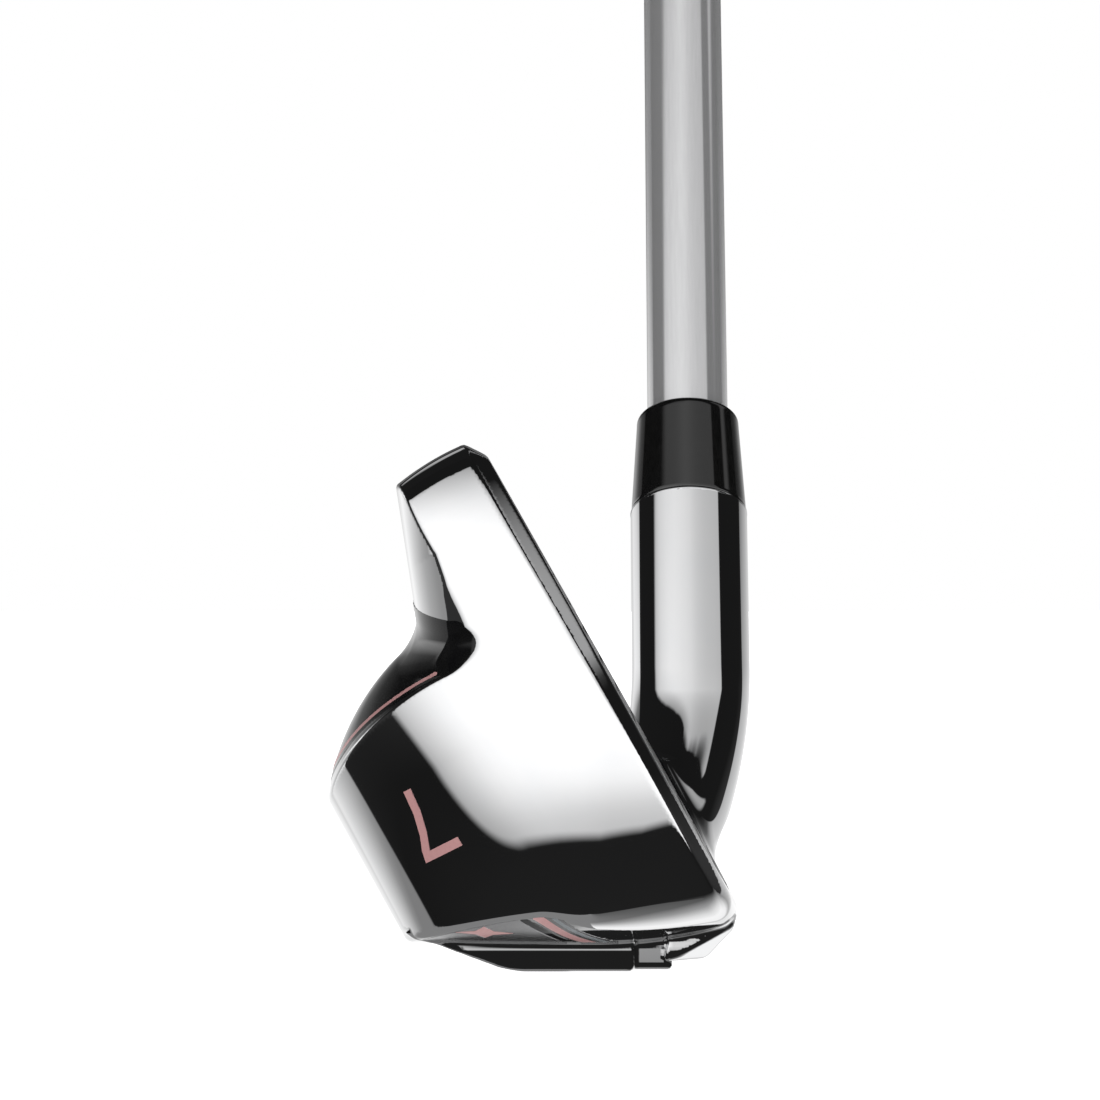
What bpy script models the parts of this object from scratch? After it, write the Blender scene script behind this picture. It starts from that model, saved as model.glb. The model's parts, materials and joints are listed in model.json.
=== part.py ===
"""Women's 7-iron golf club: a hollow wide-sole head with sole rails, a graphite shaft and a rubber grip.

Lengths are in millimetres and are scaled by MM where meshes are made.
Three frames hold the parts:
  ground  the address position: +X to the target, +Y from toe to heel, +Z up, z = 0 under the sole rails,
          x = y = 0 where the shaft axis meets the ground
  face    turned by the loft: -x runs into the head (depth), y is the ground's, z climbs the face (height)
  shaft   turned by the lie: +z runs up the shaft axis from the ground to the butt
The club's own origin is on the shaft axis where the hands hold the grip.
Outlines on the head are given as (depth, height), (y, height), (depth, y), (x, z), (y, z) or (x, y) pairs.
"""

from math import cos, pi, radians, sin, sqrt

import bmesh
import bpy
from mathutils import Matrix, Vector

MM = 0.001
GAP = 0.3  # between neighbours of free shape
FIT = 0.05  # between turned pieces on one axis

# Driving dimensions
CLUB_LENGTH = 920.0
LIE = radians(62.5)
LOFT = radians(29.0)
HOLD = 820.0  # the hands' middle, measured up the axis from the ground
HEAD_LENGTH = 80.0  # toe to shaft axis, at the ground
SOLE_WIDTH = 31.0
LEADING_X = 7.2  # where the face plane meets the ground

HOSEL_RADIUS = 6.75
HOSEL_TOP = 53.6
BORE_RADIUS = 4.95
BORE_DEPTH = 31.0
TIP_RADIUS = 4.70
TIP_PARALLEL = 190.0  # the shaft keeps its tip radius up to here
BUTT_RADIUS = 7.55
FERRULE_LENGTH = 12.4

GRIP_LENGTH = 265.0
GRIP_MOUTH_RADIUS = 8.1
GRIP_BUTT_RADIUS = 12.9
CAP_THICKNESS = 4.0
TAPE_THICKNESS = 0.18

WALL = 2.1  # the casting's wall round its hollow
SOLE_WALL = 2.9
FACE_THICKNESS = 2.2
GROOVES = 12
GROOVE_PITCH = 3.4
GROOVE_WIDTH = 0.8
GROOVE_DEPTH = 0.4
FIRST_GROOVE = 13.0  # its height up the face
SCORE_TOE, SCORE_HEEL = -63.0, -19.0  # where the grooves end
FACE_HEEL = -15.5  # where the face plate ends

# The toe outline seen from the front: how far the toe wall stands in from the toe's tip, at each height
TOE_STAND_IN = (
    (-14.0, 60.0), (2.0, 22.0), (7.0, 14.5), (11.5, 9.2), (15.0, 6.0), (19.0, 3.4), (24.0, 1.5),
    (30.0, 0.4), (36.0, 0.0), (42.0, 0.3), (47.0, 1.2), (51.0, 2.6), (54.5, 4.7), (57.5, 7.6),
    (59.8, 11.5), (61.0, 17.0),
)
TOPLINE_HEEL = (-8.0, 32.6)  # (y, height) where the top line reaches the hosel
TOPLINE_TOE = (-64.0, 60.6)
TOP_SLOPE = (TOPLINE_TOE[1] - TOPLINE_HEEL[1]) / (TOPLINE_HEEL[0] - TOPLINE_TOE[0])

# The crown over the hollow is part of an ellipsoid, in (depth, y, height)
CROWN_CENTRE = (0.0, -50.0, 20.0)
CROWN_RADII = (37.5, 47.5, 31.5)
CROWN_FALL = 0.14  # how steeply it also falls from its middle towards the heel
PLAN_MID_TOE = -50.0  # the rear wall is straight between these two, and round beyond them
PLAN_MID_HEEL = -34.0
PLAN_HEEL = 3.0
PLAN_RINGS = 26

BLADE_TOP_THICKNESS = 9.4
BLADE_LOW_THICKNESS = 13.6  # where the blade meets the crown
BLADE_LOW_HEIGHT = 49.5

SOLE_LOW_Y = -35.0
SOLE_BASE = 2.5
SOLE_CAMBER_RADIUS = 130.0
RAIL_TOE, RAIL_HEEL = -50.5, -19.5  # the rails' middles
CHANNEL_RADIUS = 75.0
CHANNEL_X = -5.2
CHANNEL_WIDTH = 1.9
CHANNEL_DEPTH = 1.6

PANEL_THICKNESS = 1.2
PANEL_INSET = 1.3
BADGE_RECESS = 1.6
BADGE_THICKNESS = 0.8

CLUB = bpy.data.collections.new("golf_iron")
CUTTERS = bpy.data.collections.new("cutters")


# ---------------------------------------------------------------- frames, materials and general tools

def frame(name, parent=None, location=(0, 0, 0), rotation=(0, 0, 0)):
    empty = bpy.data.objects.new(name, None)
    empty.location = Vector(location) * MM
    empty.rotation_euler = rotation
    empty.parent = parent
    CLUB.objects.link(empty)
    return empty


def finish(name, colour, roughness, metallic):
    material = bpy.data.materials.new(name)
    material.use_nodes = True
    shader = material.node_tree.nodes["Principled BSDF"]
    shader.inputs["Base Color"].default_value = (*colour, 1.0)
    shader.inputs["Roughness"].default_value = roughness
    shader.inputs["Metallic"].default_value = metallic
    return material


def add(name, mesh, parent, material=None):
    """A node of the club when it has a material, and a hidden cutter when it has none."""
    obj = bpy.data.objects.new(name, mesh)
    obj.parent = parent
    if material is None:
        obj.hide_render = True
        obj.display_type = "WIRE"
        CUTTERS.objects.link(obj)
    else:
        mesh.materials.clear()
        mesh.materials.append(material)
        CLUB.objects.link(obj)
    return obj


def boolean(target, operation, *others):
    for other in others:
        modifier = target.modifiers.new(f"{operation.lower()}_{other.name}"[:60], "BOOLEAN")
        modifier.operation = operation
        modifier.object = other
    return target


# The direction of an outline's two axes and of its thickness, in the frame it lies in
PLANES = {
    "depth_height": ((-1, 0, 0), (0, 0, 1), (0, 1, 0)),
    "y_height": ((0, 1, 0), (0, 0, 1), (1, 0, 0)),
    "depth_y": ((-1, 0, 0), (0, 1, 0), (0, 0, -1)),
    "x_z": ((1, 0, 0), (0, 0, 1), (0, -1, 0)),
    "y_z": ((0, 1, 0), (0, 0, 1), (1, 0, 0)),
    "x_y": ((1, 0, 0), (0, 1, 0), (0, 0, 1)),
}


def outline_mesh(name, outline, half_thickness):
    """A closed flat outline as a 2D curve with a thickness, turned into a welded mesh."""
    curve = bpy.data.curves.new(name, "CURVE")
    curve.dimensions = "2D"
    curve.fill_mode = "BOTH"
    curve.extrude = half_thickness * MM
    spline = curve.splines.new("POLY")
    spline.points.add(len(outline) - 1)
    for point, (u, v) in zip(spline.points, outline):
        point.co = (u * MM, v * MM, 0.0, 1.0)
    spline.use_cyclic_u = True
    holder = bpy.data.objects.new(name, curve)
    bpy.context.scene.collection.objects.link(holder)
    bpy.context.view_layer.update()
    graph = bpy.context.evaluated_depsgraph_get()
    mesh = bpy.data.meshes.new_from_object(holder.evaluated_get(graph))
    bpy.data.objects.remove(holder)
    bpy.data.curves.remove(curve)
    mesh.name = name
    body = bmesh.new()
    body.from_mesh(mesh)
    bmesh.ops.remove_doubles(body, verts=body.verts, dist=1e-6)
    bmesh.ops.recalc_face_normals(body, faces=body.faces)
    body.to_mesh(mesh)
    body.free()
    return mesh


def slab(name, outline, plane, low, high, parent, material=None):
    """An outline in one of PLANES, with its thickness from low to high along the plane's third direction."""
    mesh = outline_mesh(name, outline, (high - low) / 2)
    first, second, third = (Vector(axis) for axis in PLANES[plane])
    turn = Matrix((first, second, third)).transposed().to_4x4()
    mesh.transform(Matrix.Translation(third * (low + high) / 2 * MM) @ turn)
    return add(name, mesh, parent, material)


def turned(name, profile, parent, material=None, steps=48):
    """A closed (radius, height) profile, listed down its outer side and up its inner one, spun round +Z."""
    body = bmesh.new()
    verts = [body.verts.new((radius * MM, 0.0, height * MM)) for radius, height in profile]
    closed = profile[0][0] > 0 or profile[-1][0] > 0
    for one, two in zip(verts, verts[1:]):
        body.edges.new((one, two))
    if closed:
        body.edges.new((verts[-1], verts[0]))
    mesh = bpy.data.meshes.new(name)
    body.to_mesh(mesh)
    body.free()
    obj = add(name, mesh, parent, material)
    screw = obj.modifiers.new("turn", "SCREW")
    screw.steps = steps
    screw.render_steps = steps
    screw.use_merge_vertices = True
    screw.merge_threshold = 1e-6
    screw.use_smooth_shade = True
    return obj


def rod(name, radius, low, high, parent, material=None, steps=48):
    body = bmesh.new()
    place = Matrix.Translation((0, 0, (low + high) / 2 * MM))
    bmesh.ops.create_cone(body, cap_ends=True, segments=steps, radius1=radius * MM, radius2=radius * MM,
                          depth=(high - low) * MM, matrix=place)
    mesh = bpy.data.meshes.new(name)
    body.to_mesh(mesh)
    body.free()
    return add(name, mesh, parent, material)


def box(name, low, high, parent, material=None):
    low, high = Vector(low) * MM, Vector(high) * MM
    body = bmesh.new()
    size = Matrix.Diagonal((*(high - low), 1.0))
    bmesh.ops.create_cube(body, size=1.0, matrix=Matrix.Translation((low + high) / 2) @ size)
    mesh = bpy.data.meshes.new(name)
    body.to_mesh(mesh)
    body.free()
    return add(name, mesh, parent, material)


def ellipsoid(name, shrink, parent):
    """The crown's ellipsoid, smaller by shrink all round."""
    depth, y, height = CROWN_CENTRE
    radii = [(radius - shrink) * MM for radius in CROWN_RADII]
    place = Matrix.Translation(Vector((-depth, y, height)) * MM) @ Matrix.Diagonal((*radii, 1.0))
    body = bmesh.new()
    bmesh.ops.create_uvsphere(body, u_segments=72, v_segments=36, radius=1.0, matrix=place)
    for vert in body.verts:
        past = max(0.0, vert.co.y / MM - y)
        vert.co.z -= CROWN_FALL * past ** 2 / (past + 6.0) * MM
    mesh = bpy.data.meshes.new(name)
    body.to_mesh(mesh)
    body.free()
    return add(name, mesh, parent)


def eased(value, table):
    """Look-up on a smooth curve through a table of (value, result) rows."""
    last = len(table) - 1
    i = 0
    while i < last - 1 and value > table[i + 1][0]:
        i += 1
    (low, first), (high, second) = table[i], table[i + 1]
    before, after = table[max(i - 1, 0)], table[min(i + 2, last)]
    start = (second - before[1]) / (high - before[0]) * (high - low)
    end = (after[1] - first) / (after[0] - low) * (high - low)
    t = min(1.0, max(0.0, (value - low) / (high - low)))
    return (first * (1 + 2 * t) * (1 - t) ** 2 + start * t * (1 - t) ** 2
            + second * (3 - 2 * t) * t ** 2 - end * (1 - t) * t ** 2)


def arc(centre, radii, start, end, count):
    """count + 1 points on an ellipse's arc, the angles in degrees."""
    points = []
    for step in range(count + 1):
        angle = radians(start + (end - start) * step / count)
        points.append((centre[0] + radii[0] * cos(angle), centre[1] + radii[1] * sin(angle)))
    return points


def star(centre, long, short):
    """A four-pointed star's outline."""
    points = []
    for corner in range(8):
        radius = short if corner % 2 else long
        angle = corner * pi / 4
        points.append((centre[0] + radius * cos(angle), centre[1] + radius * sin(angle)))
    return points


def shifted(outline, distance):
    """A closed outline moved in by a distance, or out by a negative one, with mitred corners."""
    count = len(outline)
    area = sum(outline[i - 1][0] * outline[i][1] - outline[i][0] * outline[i - 1][1] for i in range(count))
    side = 1.0 if area > 0 else -1.0
    moved = []
    for i, point in enumerate(outline):
        here = Vector(point)
        before = (here - Vector(outline[i - 1])).normalized()
        after = (Vector(outline[(i + 1) % count]) - here).normalized()
        inward = Vector((-before.y - after.y, before.x + after.x)) * side
        inward.normalize()
        miter = max(0.35, inward.dot(Vector((-before.y, before.x)) * side))
        moved.append(tuple(here + inward * distance / miter))
    return moved


# ---------------------------------------------------------------- outlines of the head

def ground_to_face(x, z):
    """(depth, height) of a point (x, z) of the ground frame."""
    along = x - LEADING_X
    return (-along * cos(LOFT) - z * sin(LOFT), -along * sin(LOFT) + z * cos(LOFT))


def topline_height(y):
    """The top line's height up the face, at y."""
    return TOPLINE_TOE[1] - TOP_SLOPE * (y - TOPLINE_TOE[0])


def sole_z(y):
    """The cambered sole's height over the ground, at y, without its rails."""
    return SOLE_BASE + (y - SOLE_LOW_Y) ** 2 / (2 * SOLE_CAMBER_RADIUS)


def plan_outline(height, inset=0.0):
    """The head seen down the face: flat front, elliptical toe and heel corners, straight rear wall."""
    rear = SOLE_WIDTH - inset
    toe_reach = HEAD_LENGTH + PLAN_MID_TOE - eased(height, TOE_STAND_IN) - inset
    heel_reach = PLAN_HEEL - PLAN_MID_HEEL - inset
    front = -6.0
    toe = arc((0, PLAN_MID_TOE), (rear, max(toe_reach, 1.0)), -90, 0, 18)
    heel = arc((0, PLAN_MID_HEEL), (rear, heel_reach), 0, 90, 14)
    return [(front, toe[0][1]), *toe, *heel, (front, heel[-1][1])]


def plan_hull(name, parent, inset=0.0):
    """The toe, rear and heel walls: a loft of plan outlines, closer together near the top."""
    body = bmesh.new()
    rings = []
    low, high = TOE_STAND_IN[0][0], TOE_STAND_IN[-1][0]
    for step in range(PLAN_RINGS + 1):
        height = low + (high - low) * (1 - (1 - step / PLAN_RINGS) ** 1.4)
        rings.append([body.verts.new((-depth * MM, y * MM, height * MM))
                      for depth, y in plan_outline(height, inset)])
    for lower, upper in zip(rings, rings[1:]):
        for i in range(len(lower)):
            j = (i + 1) % len(lower)
            body.faces.new((lower[i], lower[j], upper[j], upper[i]))
    body.faces.new(rings[0])
    body.faces.new(rings[-1])
    bmesh.ops.recalc_face_normals(body, faces=body.faces)
    mesh = bpy.data.meshes.new(name)
    body.to_mesh(mesh)
    body.free()
    return add(name, mesh, parent)


def blade_outline(inset=0.0):
    """(depth, height) of the blade: it thickens from the top line down to the crown."""
    low, high = -10.0, 70.0
    slope = (BLADE_TOP_THICKNESS - BLADE_LOW_THICKNESS) / (TOPLINE_TOE[1] - BLADE_LOW_HEIGHT)
    at_top = BLADE_LOW_THICKNESS + slope * (high - BLADE_LOW_HEIGHT) - inset
    return [(0.0, low), (0.0, high), (at_top, high), (BLADE_LOW_THICKNESS - inset, BLADE_LOW_HEIGHT),
            (BLADE_LOW_THICKNESS - inset, low)]


def top_outline():
    """(y, height) of everything under the top line."""
    far = 30.0
    return [(-100.0, -20.0), (far, -20.0), (far, topline_height(far)), (-100.0, topline_height(-100.0))]


def sole_outline(inset=0.0):
    """(y, z) of everything over the cambered sole, with the heel rounded up to the hosel."""
    camber = [(y, sole_z(y) + inset) for y in range(-90, -7, 4)]
    last_y, last_z = camber[-1]
    heel = arc((last_y, last_z + 17.0), (25.0 - inset, 17.0), -90, -8, 14)[1:]
    return [*camber, *heel, (60.0, 60.0), (60.0, 90.0), (-90.0, 90.0)]


def leading_outline():
    """(x, z) of everything behind the rounded leading edge and over the rear lip."""
    nose = arc((0.57, 6.6), (2.6, 2.6), 29, -80, 10)
    return [(-90.0, 4.4), (-60.0, 4.4), (-29.0, 4.4), (-20.0, 3.0), (-9.0, 2.5), *reversed(nose),
            (3.0, 8.3), (4.1, 12.7), (5.2, 17.0), (6.0, 21.5), (6.6, 27.5), (7.2, 36.0),
            (60.0, 60.0), (60.0, 90.0), (-90.0, 90.0)]


def channel_x(y):
    """x of the sole channel's front edge, at y."""
    return CHANNEL_X - (y - SOLE_LOW_Y) ** 2 / (2 * CHANNEL_RADIUS)


def channel_band(front, rear, toe, heel, count=14):
    """(x, y) outline that follows the channel, from front to rear behind its front edge, toe to heel."""
    ys = [toe + (heel - toe) * step / count for step in range(count + 1)]
    return ([(channel_x(y) - front, y) for y in ys] + [(channel_x(y) - rear, y) for y in reversed(ys)])


def camber_band(low, high, toe, heel, count=12):
    """(y, z) outline that follows the sole's camber, from low to high over it."""
    ys = [toe + (heel - toe) * step / count for step in range(count + 1)]
    return [(y, sole_z(y) + low) for y in ys] + [(y, sole_z(y) + high) for y in reversed(ys)]


# ---------------------------------------------------------------- head

def head_core(name, parent_face, inset=0.0):
    """Blade and hollow muscle as one cutter solid, smaller by inset all round but for the face."""
    core = slab(name, blade_outline(inset), "depth_height", -110, 40, parent_face)
    crown = ellipsoid(name + "_crown", inset, parent_face)
    front_half = box(name + "_behind_face", (-60, -110, -20), (0, 40, 80), parent_face)
    boolean(crown, "INTERSECT", front_half)
    hull = plan_hull(name + "_plan", parent_face, inset)
    top = slab(name + "_top", [(y, height - inset) for y, height in top_outline()], "y_height",
               -60, 20, parent_face)
    boolean(core, "UNION", crown)
    boolean(core, "INTERSECT", hull, top)
    return core


def rails(parent):
    """Two front-to-back rails under the sole, each split by the channel."""
    rear_side = [(-28.0, 5.6), (-27.4, 4.4), (-20.4, 0.4), (-19.4, 0.0), (-8.6, 0.0), (-7.5, 0.9), (-7.2, 5.6)]
    front_side = [(-5.6, 5.6), (-5.1, 2.2), (-4.2, 1.4), (-3.0, 1.4), (0.3, 3.4), (0.6, 5.6)]
    section = [(-6.6, 5.6), (-5.2, 1.3), (1.8, 0.0), (5.6, 0.0), (7.0, 5.6)]
    made = []
    for name, middle, mirror in (("rail_toe", RAIL_TOE, 1.0), ("rail_heel", RAIL_HEEL, -1.0)):
        across = [(middle + mirror * y, z) for y, z in section]
        for part, side in (("_rear", rear_side), ("_front", front_side)):
            rail = slab(name + part, side, "x_z", -middle - 12, -middle + 12, parent)
            boolean(rail, "INTERSECT", slab(name + part + "_across", across, "y_z", -40, 10, parent))
            made.append(rail)
    return made


def neck(parent):
    """Fills the corner between the blade's heel and the hosel: the hull of both."""
    body = bmesh.new()
    for height in (9.0, 28.0):
        centre = Vector((0, cos(LIE), sin(LIE))) * height
        for step in range(24):
            angle = 2 * pi * step / 24
            ring = Vector((cos(angle), sin(angle) * sin(LIE), -sin(angle) * cos(LIE)))
            body.verts.new((centre + ring * (HOSEL_RADIUS - 0.3)) * MM)
    for depth, height in ((0.15, 8.0), (0.15, 34.0), (9.0, 32.5), (10.5, 16.0)):
        x = LEADING_X - depth * cos(LOFT) - height * sin(LOFT)
        z = -depth * sin(LOFT) + height * cos(LOFT)
        body.verts.new(Vector((x, -14.5, z)) * MM)
    bmesh.ops.convex_hull(body, input=body.verts)
    loose = [vert for vert in body.verts if not vert.link_faces]
    bmesh.ops.delete(body, geom=loose, context="VERTS")
    bmesh.ops.recalc_face_normals(body, faces=body.faces)
    mesh = bpy.data.meshes.new("neck")
    body.to_mesh(mesh)
    body.free()
    return add("neck", mesh, parent)


def face_outline(margin):
    """(y, height) of the face plate's opening, margin inside the front of the head."""
    toe_side = [(-HEAD_LENGTH + eased(h, TOE_STAND_IN) + margin, h) for h in
                (16.0, 19.0, 22.0, 26.0, 30.0, 36.0, 42.0, 46.0, 50.0, 53.0, 55.5)]
    top = [(-68.0 + margin * 0.6, 58.6 - margin * 0.8)]
    top += [(y, topline_height(y) - margin) for y in (-60.0, FACE_HEEL)]
    bottom = [(y, (sole_z(y) + 4.6) / cos(LOFT) + margin) for y in (FACE_HEEL, -22.0, -29.0, -36.0, -43.0, -50.0, -57.0, -64.0)]
    return toe_side + top + bottom


def panel_region(name, inset, parent_face):
    """The crown panel's place in plan, over the hollow and clear of the blade."""
    hull = plan_hull(name, parent_face, inset)
    behind_blade = box(name + "_behind", (-60, -110, 22), (-(BLADE_LOW_THICKNESS + 0.8 + inset / 3), 40, 56),
                       parent_face)
    toe_clip = box(name + "_ends", (-60, -76.5, 20), (20, -13.0 - inset, 70), parent_face)
    return boolean(hull, "INTERSECT", behind_blade, toe_clip)


def crown_panel(parent_face, gloss_black, rose):
    """The glossy crown panel in its recess, and the fine rose line let into it. Returns the recess cutter."""
    outer = ellipsoid("panel_outer", 0.0, parent_face)
    inner = ellipsoid("panel_inner", PANEL_THICKNESS, parent_face)
    region = panel_region("panel_region", PANEL_INSET, parent_face)
    panel = add("crown_panel", outer.data.copy(), parent_face, gloss_black)
    boolean(panel, "DIFFERENCE", inner)
    boolean(panel, "INTERSECT", region)

    line_outer = plan_hull("line_outer", parent_face, PANEL_INSET + 1.5)
    line_inner = plan_hull("line_inner", parent_face, PANEL_INSET + 2.2)
    line_floor = ellipsoid("line_floor", 0.45, parent_face)
    line_ends = box("line_ends", (-60, -76.0, 20), (-(BLADE_LOW_THICKNESS + 2.0), -22.0, 56), parent_face)
    line = add("crown_line", outer.data.copy(), parent_face, rose)
    boolean(line, "DIFFERENCE", line_floor)
    boolean(line, "INTERSECT", line_outer, line_ends)
    boolean(line, "DIFFERENCE", line_inner)

    groove = plan_hull("groove_outer", parent_face, PANEL_INSET + 1.2)
    groove_inner = plan_hull("groove_inner", parent_face, PANEL_INSET + 2.5)
    groove_floor = ellipsoid("groove_floor", 0.75, parent_face)
    groove_ends = box("groove_ends", (-60, -76.3, 20), (-(BLADE_LOW_THICKNESS + 1.7), -21.7, 56), parent_face)
    boolean(groove, "INTERSECT", groove_ends)
    boolean(groove, "DIFFERENCE", groove_inner, groove_floor)
    boolean(panel, "DIFFERENCE", groove)

    recess = panel_region("panel_recess", PANEL_INSET - GAP, parent_face)
    return boolean(recess, "DIFFERENCE", ellipsoid("panel_seat", PANEL_THICKNESS + GAP, parent_face))


def sole_badge(parent_ground, parent_face, satin, black, rose, silver):
    """The toe-side sole badge: plate, star emblem, black groove strip and two arc stripes.

    Returns the recess cutter.
    """
    toe, heel = -73.0, -58.2
    rear = -28.0
    hull = plan_hull("badge_plan", parent_face, WALL - 1.2)

    def strip(name, front, back, low, high, material, inside=0.0):
        outline = channel_band(front, back, toe + inside, heel - inside)
        piece = slab(name, outline, "x_y", -5, 15, parent_ground, material)
        layer = slab(name + "_layer", camber_band(low, high, -80, -50), "y_z", -60, 20, parent_ground)
        return boolean(piece, "INTERSECT", layer, hull)

    low, high = 0.4, 0.4 + BADGE_THICKNESS
    band = strip("sole_band", 0.4, 5.0, low, high, satin)
    grooves = []
    for name, front, back, material in (("sole_stripe_silver", 1.1, 2.0, silver),
                                        ("sole_stripe_rose", 2.6, 4.2, rose)):
        strip(name, front, back, low - 0.05, low + 0.25, material, inside=1.2)
        grooves.append(slab(name + "_groove", channel_band(front - 0.25, back + 0.25, toe + 0.9, heel - 0.9),
                            "x_y", -5, 15, parent_ground))
        floor = slab(name + "_floor", camber_band(low - 2.0, low + 0.5, -80, -50), "y_z", -60, 20, parent_ground)
        boolean(grooves[-1], "INTERSECT", floor)
    boolean(band, "DIFFERENCE", *grooves)
    strip("sole_groove_strip", 5.3, 6.9, low + 0.3, high, black)

    ys = [toe + (heel - toe) * step / 10 for step in range(11)]
    outline = [(channel_x(y) - 7.2, y) for y in ys] + [(rear, heel), (rear, toe)]
    plate = slab("sole_badge_plate", outline, "x_y", -5, 15, parent_ground, satin)
    layer = slab("badge_layer", camber_band(low, high, -80, -50), "y_z", -60, 20, parent_ground)
    boolean(plate, "INTERSECT", layer, hull)

    centre = (-22.2, -64.6)
    emblem = slab("sole_emblem", star(centre, 2.9, 1.2), "x_y", -5, 15, parent_ground, rose)
    thin = slab("emblem_layer", camber_band(low - 0.15, low + 0.15, -80, -50), "y_z", -60, 20, parent_ground)
    boolean(emblem, "INTERSECT", thin)
    seat = slab("emblem_seat", star(centre, 3.5, 1.6), "x_y", -5, 15, parent_ground)
    seat_layer = slab("emblem_seat_layer", camber_band(low - 2, low + 0.4, -80, -50), "y_z", -60, 20,
                      parent_ground)
    boolean(plate, "DIFFERENCE", boolean(seat, "INTERSECT", seat_layer))

    edge = ([(channel_x(y), y) for y in [toe - 6 + step for step in range(0, 22, 3)]]
            + [(rear - GAP, heel + GAP), (rear - GAP, toe - 6)])
    recess = slab("badge_recess", edge, "x_y", -5, 15, parent_ground)
    depth = slab("badge_recess_layer", camber_band(-6.0, BADGE_RECESS, -80, -50), "y_z", -60, 20, parent_ground)
    recess_hull = plan_hull("badge_recess_plan", parent_face, WALL - 1.5)
    return boolean(recess, "INTERSECT", depth, recess_hull)


def seven_outline(grow=0.0):
    """A plain figure 7, 7.2 high, about its middle: a bar on top and a curved stem."""
    right = [(2.1, 3.6), (1.85, 2.4), (1.25, 0.9), (0.75, -1.2), (0.55, -3.6)]
    left = [(-0.25, -3.6), (-0.05, -1.2), (0.45, 0.9), (1.1, 2.65)]
    return shifted([(-2.05, 3.6), *right, *left, (-2.05, 2.65)], -grow)


def number_seven(parent_face, rose):
    """The rose 7 let into the rear toe corner. Returns its recess cutter."""
    a, b = SOLE_WIDTH, HEAD_LENGTH + PLAN_MID_TOE - 1.5
    depth, height = 22.5, 30.9
    y = PLAN_MID_TOE - b * sqrt(1 - (depth / a) ** 2)
    out = Vector((-depth / a ** 2, (y - PLAN_MID_TOE) / b ** 2, 0)).normalized()
    up = Vector((0.0, 0.0, -1.0))
    side = up.cross(out)
    place = frame("seven_frame", parent_face, (-depth, y, height),
                  Matrix((side, up, out)).transposed().to_euler())
    seven = slab("number_seven", seven_outline(), "x_y", -4, 4, place, rose)
    wall = plan_hull("seven_wall", parent_face, 0.0)
    floor = plan_hull("seven_floor", parent_face, 0.45)
    boolean(seven, "INTERSECT", wall)
    boolean(seven, "DIFFERENCE", floor)
    recess = slab("seven_recess", seven_outline(GAP), "x_y", -4, 4, place)
    return boolean(recess, "DIFFERENCE", plan_hull("seven_seat", parent_face, 0.45 + GAP))


def head_body(parent_face, parent_ground, parent_shaft, chrome, recesses):
    """The casting: blade, hollow muscle, rails, neck and bored hosel."""
    core = head_core("head_solid", parent_face)
    body = add("head_body", core.data.copy(), parent_face, chrome)
    for modifier in core.modifiers:
        boolean(body, modifier.operation, modifier.object)

    boolean(body, "UNION", neck(parent_ground), rod("hosel", HOSEL_RADIUS, 6, HOSEL_TOP, parent_shaft))
    sole = slab("sole_side", sole_outline(), "y_z", -80, 60, parent_ground)
    boolean(body, "INTERSECT", sole, slab("leading_edge", leading_outline(), "x_z", -60, 110, parent_ground))
    boolean(body, "UNION", *rails(parent_ground))

    hollow = head_core("hollow", parent_face, WALL)
    window = slab("face_window", face_outline(3.0 + 2.2), "y_height", -60, 20, parent_face)
    floor = slab("hollow_floor", sole_outline(SOLE_WALL), "y_z", -80, 60, parent_ground)
    boolean(hollow, "INTERSECT", floor, window)
    opening = slab("face_seat", face_outline(3.0 - GAP), "y_height", -FACE_THICKNESS - GAP, 12, parent_face)
    bore = rod("hosel_bore", BORE_RADIUS, HOSEL_TOP - BORE_DEPTH, HOSEL_TOP + 20, parent_shaft)
    boolean(body, "DIFFERENCE", hollow, opening, bore)

    channel = slab("sole_channel", channel_band(0.0, CHANNEL_WIDTH, -57.0, -12.0), "x_y", -5, 15, parent_ground)
    layer = slab("channel_floor", camber_band(-6, CHANNEL_DEPTH, -80, 0), "y_z", -60, 20, parent_ground)
    boolean(channel, "INTERSECT", layer)
    boolean(body, "DIFFERENCE", channel, *recesses)
    for modifier in body.modifiers:
        modifier.solver = "MANIFOLD"  # the exact solver leaves this body open where the hosel meets the sole
    return body


def face_plate(parent_face, steel):
    plate = slab("face_plate", face_outline(3.0), "y_height", -FACE_THICKNESS, 0.0, parent_face, steel)
    for row in range(GROOVES):
        height = FIRST_GROOVE + row * GROOVE_PITCH
        toe = max(SCORE_TOE, -78.0 + (height - 20.0) * 0.35) if height > 45 else SCORE_TOE
        heel = min(SCORE_HEEL, TOPLINE_HEEL[0] - (height - TOPLINE_HEEL[1] + 6.5) / TOP_SLOPE)
        if row == 0:
            toe, heel = SCORE_TOE + 6.0, SCORE_HEEL - 2.0
        cutter = box(f"groove_{row + 1}", (-GROOVE_DEPTH, toe, height - GROOVE_WIDTH / 2),
                     (5.0, heel, height + GROOVE_WIDTH / 2), parent_face)
        boolean(plate, "DIFFERENCE", cutter)
    return plate


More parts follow.
